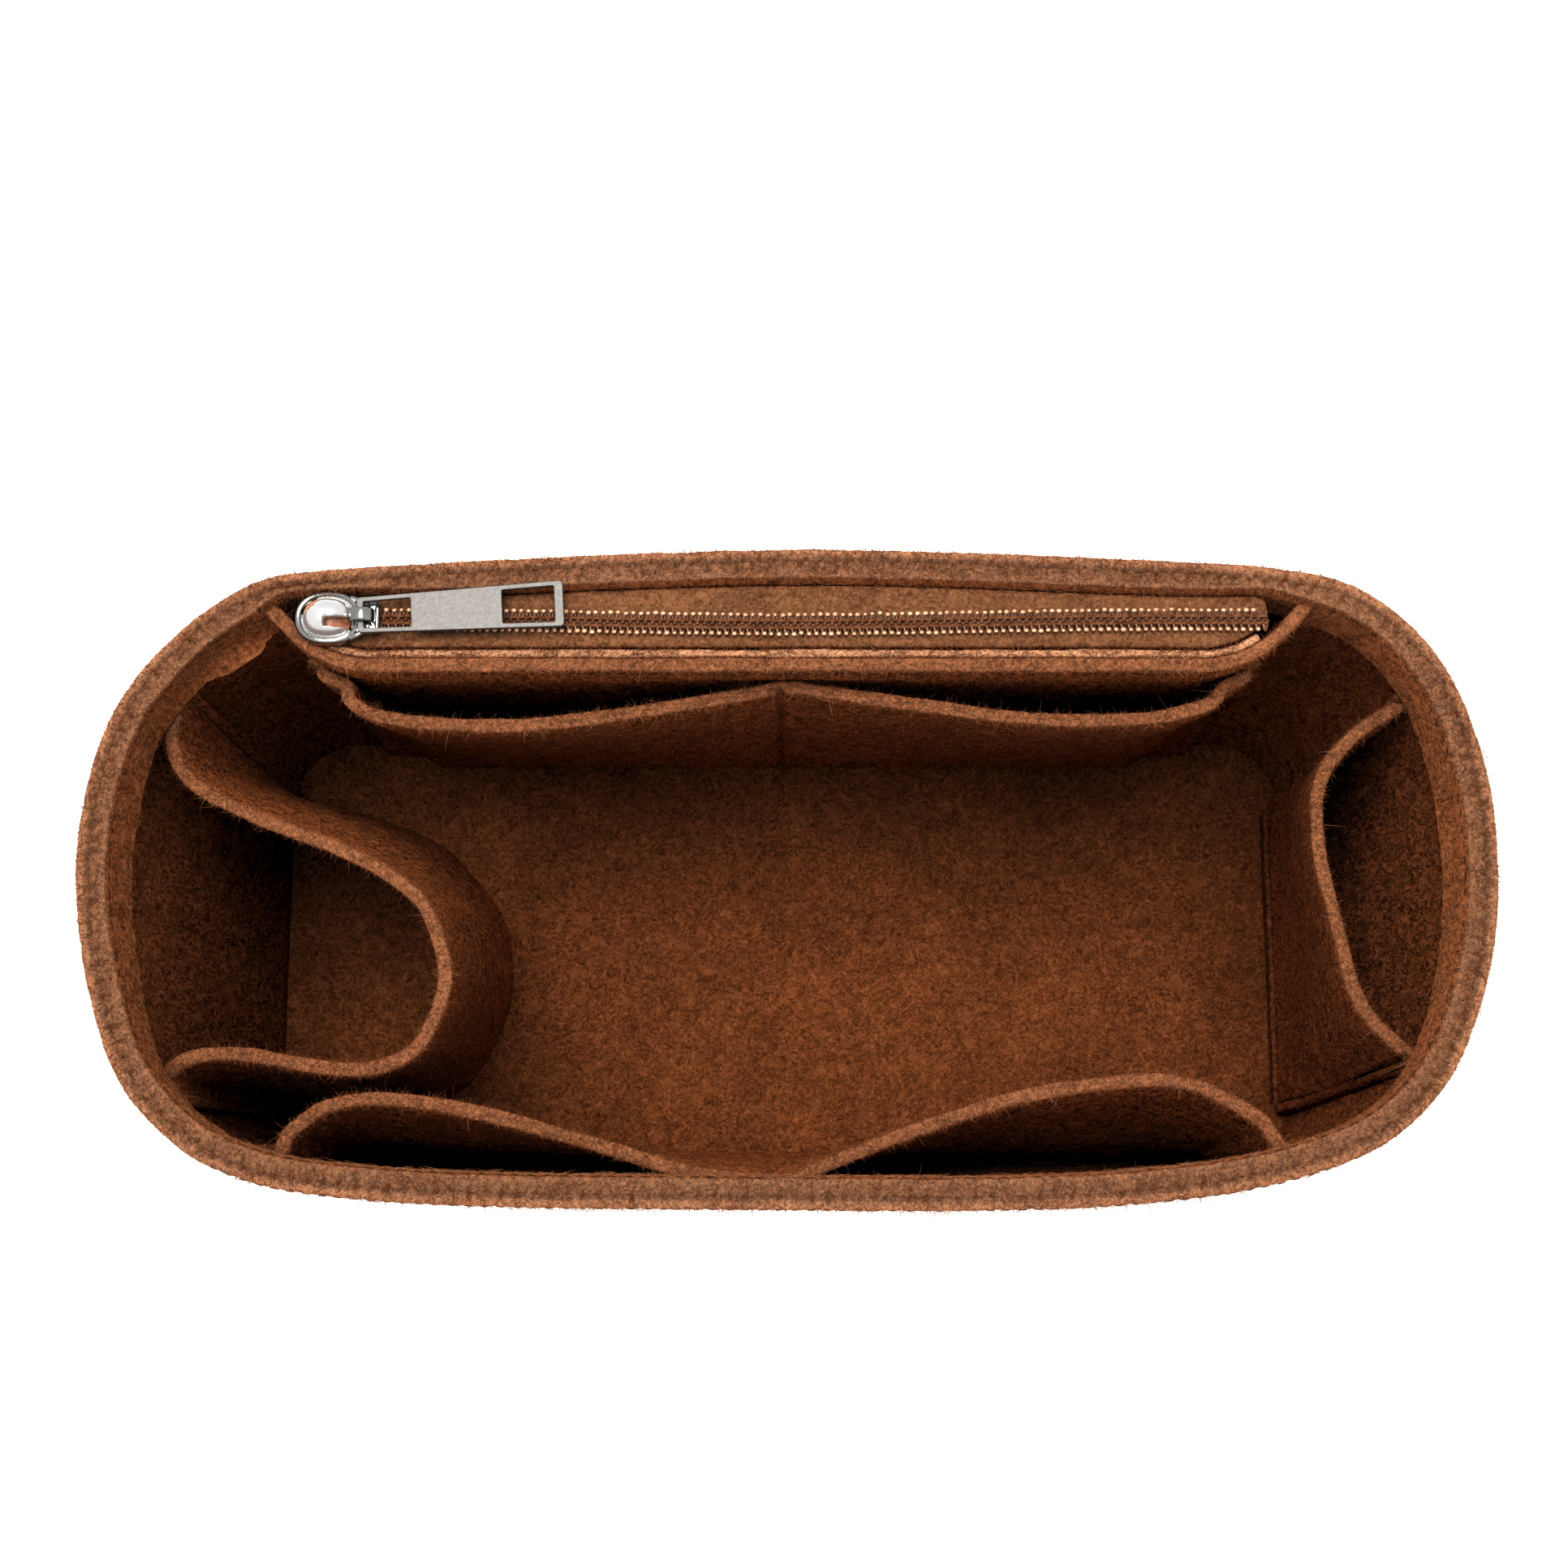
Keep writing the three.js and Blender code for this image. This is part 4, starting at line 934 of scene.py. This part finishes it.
def tape(name, side, leg_y, node, seed):
    """A tape that lies flat beside the chain and turns down along the felt, with rounded ends."""
    x = np.linspace(TAPE_SHOWN_HALF, -TAPE_SHOWN_HALF, 240)
    half = TAPE_THICKNESS / 2
    top = ZIP_PANEL_TOP - half
    bend_top = top - TAPE_BEND
    inner_y = chain_y(x) + side * COIL_GAP / 2
    outer_y = leg_y(top, x) - side * half
    rows = [(lerp(inner_y, outer_y - side * TAPE_BEND, share), top, 0, 1) for share in np.linspace(0, 1, 9)]
    for turn in np.linspace(0, math.pi / 2, 5)[1:]:
        sine, cosine = math.sin(turn), math.cos(turn)
        bent_y = outer_y - side * TAPE_BEND * (1 - sine)
        rows.append((bent_y, bend_top + TAPE_BEND * cosine, side * sine, cosine))
    for z in np.linspace(bend_top, ZIP_PANEL_TOP - TAPE_LEG_HEIGHT, 5)[1:]:
        rows.append((leg_y(z, x) - side * half, z, side, 0))
    above, below = (
        [level(np.column_stack([x, y + face * out_y]), z + face * out_z) for y, z, out_y, out_z in rows]
        for face in (half, -half)
    )
    stack = above + below[::-1]
    points = by_column(stack)
    points[:, 2] += layered(points, seed, (0.12, 0.1, 0), (0.8, 0.05, 1))
    at_end = np.clip((np.abs(points[:, 0]) - TAPE_SHOWN_HALF + 6) / 6, 0, 1)
    points[:, 0] -= np.sign(points[:, 0]) * at_end * 0.035 * (points[:, 1] - CHAIN_Y) ** 2
    points[:, 2] -= at_end**3 * 0.9
    show(name, (points, skin_faces(len(x), len(stack))), "zip_tape", [node])


def tooth_x(side, turn):
    """The near row's turns lie between those of the back row."""
    return CHAIN_LEFT_X + TOOTH_PITCH * (0.5 if side > 0 else 1) + turn * TOOTH_PITCH


def coil(name, side, node, steps=14):
    """One row of the chain: a flattened helix whose turns reach between those of the other row."""
    t = np.arange(0, (TEETH - 1) * steps + 1) / steps
    x = tooth_x(side, t)
    outermost = COIL_GAP / 2 + COIL_WIDTH - COIL_WIRE
    swing = (outermost - COIL_WIRE + COIL_OVERLAP) / 2
    y = chain_y(x) + side * (outermost - swing - swing * np.cos(2 * math.pi * t))
    z = COIL_UNDERSIDE + COIL_HEIGHT / 2 + (COIL_HEIGHT / 2 - COIL_WIRE) * np.sin(2 * math.pi * t)
    show(name, tube(np.column_stack([x, y, z]), COIL_WIRE, 7), "zip_coil", [node])


def ball(centre, radii, seed, sides=9):
    """A small lump with a slightly uneven surface."""
    turn = round_turns(sides)
    circle = np.column_stack([np.cos(turn), np.sin(turn)])
    rises = np.linspace(-0.5 * math.pi, 0.5 * math.pi, 7)[1:-1]
    points, faces = stacked([level(circle * math.cos(rise), math.sin(rise)) for rise in rises])
    points *= radii
    points *= 1 + 0.12 * wobble(points + seed, 2.0, 71)[:, None]
    return points + centre, faces


def coil_heads(name, side):
    """The thickened outer bends of the coil, held down by the tape's stitches: their pale cream colour is a
    painted highlight, for the glints on the nylon.
    """
    rng = np.random.default_rng(60 + side)
    parts = []
    for i in range(TEETH - 2):
        x = tooth_x(side, i + 0.5) + rng.normal(0, 0.04)
        y = float(chain_y(x)) + side * (HEAD_FROM_CHAIN + rng.normal(0, 0.06))
        parts.append(ball(np.array([x, y, COIL_TOP - 0.18]), HEAD_RADII * rng.uniform(0.85, 1.15), i))
    show(name, gathered(parts), "zip_coil_heads")


def chain_cord(name, side, seed):
    """The cord that the coil is wound round, seen between the heads."""
    x = np.linspace(CHAIN_LEFT_X, CHAIN_SHOWN_TO_X - 0.6, 900)
    line = level(np.column_stack([x, chain_y(x) + side * CORD_FROM_CHAIN]), COIL_TOP - CORD_RADIUS + 0.12)
    line[:, 1:] += 0.05 * np.column_stack([wobble(line, 1.1, seed), wobble(line, 1.1, seed + 1)])
    ply = 1 + 0.13 * np.sin(2 * math.pi * x / TOOTH_PITCH) + 0.08 * wobble(line, 2.0, seed + 2)
    show(name, tube(line, CORD_RADIUS, 8, ply), "zip_cord")


for ending, cad_ending, side, leg_y, tape_seed, cord_seed in (
    ("back", "rear", 1, rear_leg_y, 11, 95),
    ("near", "front", -1, near_leg_y, 12, 97),
):
    tape("zip_tape_" + ending, side, leg_y, "zip_tape_" + cad_ending, tape_seed)
    chain_cord("chain_cord_" + ending, side, cord_seed)
    coil("coil_" + ending, side, "zip_coil_" + cad_ending)
    coil_heads("coil_heads_" + ending, side)
leg_z = ZIP_PANEL_TOP - TAPE_LEG_HEIGHT / 2
leg_x = np.linspace(TAPE_HALF_LENGTH - 0.5, 0.5 - TAPE_HALF_LENGTH, 120)
leg_row = np.column_stack([leg_x, rear_leg_y(leg_z, leg_x, TAPE_THICKNESS)])
level_stitches("zip_stitches_back", leg_row, leg_z, 1, "zip_thread_rear")


# The slider

# The cup from its underside up, as shares of its size and heights
CUP_PROFILE = [
    (0.93, 0), (0.985, 0.2), (1, 0.8), (1, 1.9), (0.985, 2.35), (0.95, 2.6), (0.9, 2.7), (0.85, 2.62),
    (0.81, 2.4), (0.78, 2.2), (0.74, 2.15), (0.4, 2.15), (0.1, 2.15),
]
CUP_SQUARENESS = 2.25
DOME_SHARE = 0.78
DOME_STEEPNESS = 1.3
REFLECTION_PLATE_SHARE = 0.74


def metal(name, skin, finish, node):
    return show(name, skin, finish, [node], "slider")


def outward_faces(made):
    fix = bmesh.new()
    fix.from_mesh(made.data)
    bmesh.ops.recalc_face_normals(fix, faces=fix.faces)
    fix.to_mesh(made.data)
    fix.free()


def block(outline, low, high):
    """A helper that cuts: an upright block of a plan outline."""
    made = placed("helper", mesh_of("helper", stacked([level(outline, low), level(outline, high)])))
    outward_faces(made)
    return made


def trimmed(made, cutters, smooth):
    """Cuts blocks out of a piece for good."""
    outward_faces(made)
    for cutter in cutters:
        step = made.modifiers.new("cut", "BOOLEAN")
        step.object = cutter
        step.operation = "DIFFERENCE"
        step.solver = "EXACT"
    made.data = evaluated(made)
    made.modifiers.clear()
    for cutter in cutters:
        bpy.data.objects.remove(cutter)
    smoothed(made.data, smooth)


def squarer(values, power):
    return np.sign(values) * np.abs(values) ** power


def rounded(centre, half_x, half_y, power, turned=0.0, count=28):
    """A soft-cornered rectangle, turned by an angle."""
    turn = round_turns(count)
    x, y = half_x * squarer(np.cos(turn), 2 / power), half_y * squarer(np.sin(turn), 2 / power)
    c, d = math.cos(turned), math.sin(turned)
    return np.column_stack([centre[0] + c * x - d * y, centre[1] + d * x + c * y])


def cup_ring(share, z):
    """A level loop of the slider's round cup, drawn in to a share of its size."""
    centre = ((CUP_TAIL_X + SLIDER_NOSE_X) / 2, CHAIN_Y)
    half_x, half_y = (CUP_TAIL_X - SLIDER_NOSE_X) / 2, SLIDER_NOSE_WIDTH / 2
    return level(rounded(centre, half_x * share, half_y * share, CUP_SQUARENESS, count=40), z)


def lower_ring(inset, z):
    """A level loop of the lower plate, which is round at its nose."""
    radius = SLIDER_LOWER_WIDTH / 2 - inset
    centre = SLIDER_NOSE_X + SLIDER_LOWER_INSET + SLIDER_LOWER_WIDTH / 2
    side_x = np.linspace(centre, SLIDER_TAIL_X - inset, 8)[1:]
    points = [(centre + radius * math.cos(turn), radius * math.sin(turn))
              for turn in np.linspace(math.pi / 2, 3 * math.pi / 2, 18)]
    points += [(x, -radius) for x in side_x] + [(x, radius) for x in side_x[::-1]]
    return level(np.array(points) + (0, CHAIN_Y), z)


# The two openings that pierce the slider's top
WINDOWS = [
    rounded((-83.6, CHAIN_Y - 1.3), 2.6, 1.1, 5),
    rounded((-89.0, CHAIN_Y + 2.0), 2.1, 0.85, 2.6, 0.75),
]


def slider_cup():
    """A round cup with a raised lip, cut by the chain's channel and the windows."""
    low = COIL_UNDERSIDE - 1
    cup = metal("slider_cup", stacked([cup_ring(share, COIL_UNDERSIDE + z) for share, z in CUP_PROFILE]),
                "slider_chrome", "slider_body")
    half = COIL_GAP / 2 + COIL_WIDTH + SEAM_GAP
    nose, tail = SLIDER_NOSE_X - 1, CUP_TAIL_X + 1
    channel = np.array([(nose, -half), (tail, -half), (tail, half), (nose, half)]) + (0, CHAIN_Y)
    windows = [block(window, low, COIL_UNDERSIDE + 6) for window in WINDOWS]
    trimmed(cup, [block(channel, low, CHANNEL_TOP), *windows], smooth=False)


def slider_plates():
    """The ribbed tail that the pull's eye lies on, its two arms, the lower plate and the post."""
    tail_half = (SLIDER_TAIL_X - CUP_TAIL_X + 2) / 2
    tail_centre = (SLIDER_TAIL_X - tail_half, CHAIN_Y)
    parts = [stacked([
        level(rounded(tail_centre, tail_half * share, 3.1 * share, 5, count=32), z)
        for share, z in ((0.95, CHANNEL_TOP), (1, CHANNEL_TOP + 0.2), (1, SLIDER_TOP - 0.6),
                         (0.95, SLIDER_TOP - 0.35), (0.8, SLIDER_TOP - 0.3))
    ])]
    for from_tail in (2.2, 0.45):
        sides = np.linspace(-2.6, 2.6, 14)
        rib = [(SLIDER_TAIL_X - from_tail, CHAIN_Y + side, SLIDER_TOP - 0.3) for side in sides]
        parts.append(tube(rib, 0.5, 10, [0.5, 0.85] + [1] * 10 + [0.85, 0.5]))
    for side in (-1, 1):
        arm = [(CUP_TAIL_X + x, CHAIN_Y + side * y, SLIDER_TOP - down)
               for x, y, down in ((-2.2, 3.9, 0.6), (-0.6, 3.3, 0.3), (0.5, 2.7, 0.3), (1.6, 2.5, 0.7))]
        parts.append(tube(spline(arm, steps=5), 0.6, 10, np.linspace(1, 0.7, 16)))
    top = ZIP_PANEL_TOP - TAPE_THICKNESS - SEAM_GAP
    bottom = top - SLIDER_PLATE
    parts.append(stacked([lower_ring(inset, z) for inset, z in (
        (0.5, bottom), (0.12, bottom + 0.15), (0, bottom + 0.5), (0, top - 0.3), (0.3, top),
    )]))
    post_x, half_x, half_y = SLIDER_NOSE_X + POST_INSET, POST_LENGTH / 2, POST_WIDTH / 2
    post = np.array([(0, 0), (half_x, -half_y), (2 * half_x, 0), (half_x, half_y)]) + (post_x, CHAIN_Y)
    ring = even(post, 20, closed=True)
    parts.append(stacked([level(ring, z) for z in (top - 0.4, COIL_UNDERSIDE, COIL_TOP, CHANNEL_TOP + 0.4)]))
    metal("slider_plates", gathered(parts), "slider_chrome", "slider_body")


def slider_dome():
    """The crown is cast as a low dome in the cup, pierced twice, over a brown plate in the well below: a
    painted reflection of the felt's brown in the chrome.
    """
    base = COIL_UNDERSIDE + 2.0
    high = CROWN_UNDERSIDE + CROWN_THICKNESS - 0.15
    rings = [cup_ring(DOME_SHARE, base)]
    for turn in np.linspace(0.12, math.pi / 2 - 0.06, 12):
        rise = lerp(base, high, math.sin(turn) ** DOME_STEEPNESS)
        rings.append(cup_ring(DOME_SHARE * math.cos(turn) ** 0.75, rise))
    dome = metal("slider_dome", stacked(rings), "slider_polished", "slider_crown")
    trimmed(dome, [block(window, base - 1, high + 2) for window in WINDOWS], smooth=True)
    # A brown plate under the windows: painted reflection of the felt in the chrome
    reflection_plate = stacked([cup_ring(REFLECTION_PLATE_SHARE, base + rise) for rise in (0.0, 0.35, 0.5)])
    metal("slider_well", reflection_plate, "slider_well", "slider_crown")


def slider_bridge():
    """The strap that holds the pull's bar, rounded across its width."""
    nose = CUP_TAIL_X - 1.9
    tail = SLIDER_TAIL_X - CROWN_TAIL_INSET - CROWN_FOOT_LENGTH / 2
    top = CROWN_UNDERSIDE + CROWN_THICKNESS / 2
    foot = SLIDER_TOP - 0.2
    line = spline([
        (nose, top - 1.5), (nose + 0.8, top - 0.5), (nose + 1.7, top - 0.1), (tail - 1.3, top - 0.1),
        (tail - 0.1, lerp(foot, top, 0.62)), (tail + 0.1, foot),
    ], steps=6)
    turn = round_turns(20)
    side = squarer(np.cos(turn), 0.5) * (CROWN_WIDTH - 0.6) / 2
    reach = squarer(np.sin(turn), 0.6) * CROWN_THICKNESS / 2
    loops = [np.column_stack([x + up_x * reach, CHAIN_Y + side, z + up_z * reach])
             for (x, z), (up_x, up_z) in zip(line, normals(line))]
    metal("slider_bridge", stacked(loops), "slider_chrome", "slider_crown")


slider_cup()
slider_plates()
slider_dome()
slider_bridge()


# The pull

BEVEL = 0.14
OUTER_CORNER = 0.8
WINDOW_CORNER = 0.3


def pull_frame(low, high, inset, radius):
    """A four-sided outline across the pull, with rounded corners."""
    points = []
    for x, along, way, quarter in ((low, 1, -1, 2), (high, -1, -1, 3), (high, -1, 1, 0), (low, 1, 1, 1)):
        share = (x - HINGE_X + PULL_BAR_LENGTH / 2) / PULL_LENGTH
        y = CHAIN_Y + way * (lerp(PULL_HINGE_WIDTH, PULL_TIP_WIDTH, share) / 2 - inset)
        for turn in np.linspace(quarter, quarter + 1, 5) * math.pi / 2:
            points.append((x + radius * (along + math.cos(turn)), y + radius * (math.sin(turn) - way)))
    return points


def pull_tab():
    """The pull, cut from one plate: bar, near window, plate, far window and end bar, with worn edges."""
    start = HINGE_X - PULL_BAR_LENGTH / 2
    end = start + PULL_LENGTH
    near = start + PULL_BAR_LENGTH
    plate = near + PULL_NEAR_WINDOW
    curve = bpy.data.curves.new("pull_outline", "CURVE")
    curve.dimensions = "2D"
    curve.fill_mode = "BOTH"
    for points in (
        pull_frame(start, end, 0, OUTER_CORNER),
        pull_frame(near, plate, PULL_RAIL, WINDOW_CORNER),
        pull_frame(plate + PULL_PLATE_LENGTH, end - PULL_TIP_BAR, PULL_RAIL, WINDOW_CORNER),
    ):
        run = curve.splines.new("POLY")
        run.points.add(len(points) - 1)
        for spot, (x, y) in zip(run.points, points):
            spot.co = (x * MM, y * MM, 0, 1)
        run.use_cyclic_u = True
    curve.extrude = (PULL_THICKNESS / 2 - BEVEL) * MM
    curve.bevel_depth = BEVEL * MM
    curve.bevel_resolution = 2
    curve.offset = -BEVEL * MM
    helper = placed("pull_outline", curve)
    mesh = evaluated(helper)
    bpy.data.objects.remove(helper)
    pin = Vector((HINGE_X * MM, CHAIN_Y * MM, 0))
    turned = Matrix.Rotation(math.radians(PULL_TURN_DEGREES), 3, "Z")
    for vertex in mesh.vertices:
        vertex.co = turned @ (vertex.co - pin) + pin
        vertex.co.z += HINGE_HEIGHT * MM
    mesh.materials.clear()
    riding("pull_plate", mesh, "pull_satin", ["pull_tab"], "pull")


pull_tab()


# Stray fibres

FIBRE_TAPER = np.array([1, 0.95, 0.75, 0.25])

# The corner of the rim that the pull passes over: from x, and between two y
PULL_REACHES = (84, 41, 59)


def strands(name, starts, leans, lengths, curls, radius, finish):
    """Fine tapering fibres: every one starts at a point, leans a way and curls as it goes."""
    share = np.array([0, 0.3, 0.65, 1])[None, :, None]
    lengths = lengths[:, None, None]
    paths = starts[:, None] + leans[:, None] * share * lengths + curls[:, None] * share**2 * lengths * 0.6
    way = leans + 1e-6
    side = unit(np.cross(way, [0.3, 0.2, 1.0]))
    ring = rings_of(side, unit(np.cross(side, way)), 3)
    taper = (radius * FIBRE_TAPER)[None, :, None, None]
    points = (paths[:, :, None] + ring[:, None] * taper).reshape(-1, 3)
    one = skin_faces(4, 3)
    faces = [tuple(12 * number + i for i in face) for number in range(len(starts)) for face in one]
    show(name, (points, faces), finish)


def fuzz(name, line, half, closed, longest, per_mm, seed, finish, radius, shortest, spread, curl, upward):
    """Fibres that stand out of a cut edge in every direction, laid flat where the pull passes over them."""
    rng = np.random.default_rng(seed)
    row = line[:, :2]
    along = distances(row)
    count = int(along[-1] * per_mm)
    spots = rng.uniform(0, along[-1], count)
    side = unit(at(spots, along, normals(row, closed)))
    across_edge = rng.uniform(-1, 1, count)
    drop = 0.1 + 0.55 * np.abs(across_edge) ** 4 + rng.uniform(0, 0.3, count) * (np.abs(across_edge) > 0.85)
    places = at(spots, along, row) + side * (half * across_edge * 0.97)[:, None]
    starts = np.column_stack([places, line[0, 2] - drop])
    lean = np.column_stack([side * (across_edge * 1.2 + rng.normal(0, 0.5, count))[:, None],
                            np.abs(rng.normal(upward, 0.35, count))])
    lean[:, :2] += rng.normal(0, 0.7, (count, 2))
    lengths = np.minimum(shortest + rng.exponential(spread, count), longest)
    curls = rng.normal(0, curl, (count, 3))
    from_x, from_y, to_y = PULL_REACHES
    swept = (starts[:, 0] > from_x) & (starts[:, 1] > from_y) & (starts[:, 1] < to_y)
    lean[swept, 2] = curls[swept, 2] = 0
    strands(name, starts, unit(lean), lengths, curls, radius, finish)


for number, (name, (line, half, closed)) in enumerate(top_lines.items()):
    longest = 1.0 if name == "zip_facing" else 2.6
    hairs_per_mm, hair_spread = (0.5, 0.45) if closed else (1.3, 0.75)
    # How many to a millimetre, seed, look, radius, shortest, spread of length, curl, and how upright
    for ending, per_mm, seed, *rest in (
        ("_down", 26, 40, "stray_fibres", 0.05, 0.4, 0.33, 0.55, 0.35),
        ("_fibres", hairs_per_mm, 60, "stray_hairs", 0.045, 0.6, hair_spread, 1.0, 0.1),
        ("_pale_fibres", 0.3, 80, "pale_fibres", 0.055, 0.4, 0.3, 0.8, 0.35),
    ):
        fuzz(name + ending, line, half, closed, longest, per_mm, seed + number, *rest)


def nap(name, starts, facing_out, seed, radius=0.06, longest=3.0, finish="stray_fibres"):
    """Fibres that lie nearly flat on a felt surface."""

    def laid(rows):
        return rows - facing_out * np.sum(rows * facing_out, axis=1)[:, None]

    rng = np.random.default_rng(seed)
    count = len(starts)
    lean = unit(laid(rng.normal(0, 1, (count, 3))))
    lean = unit(lean + facing_out * rng.uniform(0.02, 0.3, count)[:, None])
    lengths = np.minimum(0.8 + rng.exponential(0.7, count), longest)
    strands(name, starts, lean, lengths, laid(rng.normal(0, 0.45, (count, 3))), radius, finish)


def wall_nap(name, row, low, high, count, seed, out=FELT / 2, way=1, finish="stray_fibres", levels=24):
    """Nap over one side of a standing panel, out from the row."""
    rng = np.random.default_rng(seed)
    starts, facing_out = [], []
    for z in np.linspace(low, high, levels):
        points = row(z)
        picked = rng.integers(2, len(points) - 2, count // levels)
        normal = normals(points)[picked] * way
        heights = z + rng.uniform(-1, 1, len(picked)) * (high - low) / levels / 2
        starts.append(np.column_stack([points[picked] + normal * out, heights]))
        facing_out.append(level(normal, 0))
    nap(name, np.vstack(starts), np.vstack(facing_out), seed, finish=finish)


FLOOR_NAP = 6500
POCKET_NAP_FROM = 40
floor_spots = np.random.default_rng(21).uniform((-112, -44), (118, 44), (FLOOR_NAP, 2))
nap("floor_nap", level(floor_spots, FELT + 0.05), np.tile([0.0, 0.0, 1.0], (FLOOR_NAP, 1)), 22, 0.075, 4.0)
wall_nap("facing_nap", lambda z: wall_outline(z, FACING_INSETS), FACING_UNDERSIDE + 1, HEIGHT - 3, 7000, 23,
         out=0, finish="stray_hairs")
for name, row, count, seed in (
    ("loop_nap", loop_row, 2500, 24), ("front_pocket_nap", front_pocket_row, 1500, 25),
    ("end_pocket_nap", end_pocket_row, 1200, 26),
):
    wall_nap(name, row, POCKET_NAP_FROM, WALL_POCKET_TOP - 1, count, seed)
wall_nap("outside_nap", lambda z: wall_outline(z, 0), 2 * FELT, HEIGHT - 1, 9000, 27, out=0, way=-1)


# Light, floor and camera

LIGHT_AIM = Vector((0, 0, 0.06))
FLOOR_HALF = 3

light = bpy.data.lights.new("top_light", "AREA")
light.shape = "DISK"
light.size = 0.7
light.energy = 21.5
lamp = placed("top_light", light)
lamp.location = (-0.1, 0.14, 1.4)
lamp.rotation_euler = (LIGHT_AIM - lamp.location).to_track_quat("-Z", "Y").to_euler()
world = bpy.data.worlds.new("studio")
bpy.context.scene.world = world
world.use_nodes = True
background = world.node_tree.nodes["Background"]
background.inputs["Color"].default_value = (1, 1, 1, 1)
background.inputs["Strength"].default_value = 0.94

floor_look = Look("pale_floor", (0.93, 0.93, 0.92), 0.9)
floor_look.fill(floor_look.shader, {"Emission Color": (1, 1, 0.99, 1), "Emission Strength": 0.5})
floor_mesh = bpy.data.meshes.new("floor")
corners = [(x * FLOOR_HALF, y * FLOOR_HALF, 0) for x, y in ((-1, -1), (1, -1), (1, 1), (-1, 1))]
floor_mesh.from_pydata(corners, [], [(0, 1, 2, 3)])
floor_mesh.materials.append(floor_look.made)
floor = placed("floor", floor_mesh)

# The view of the photograph
camera_data = bpy.data.cameras.new("camera")
camera_data.lens = 50.82
camera_data.sensor_width = 36
camera_data.clip_start = 0.01
camera = placed("camera", camera_data)
camera.location = (-0.00058, -0.05704, 0.53992)
camera.rotation_euler = (0.180908, 0, 0)
bpy.context.scene.camera = camera
view = bpy.context.scene.view_settings
view.view_transform = "Standard"
view.gamma = 0.74
view.use_curve_mapping = True
view.curve_mapping.black_level = (0.018, 0.0055, 0.002)
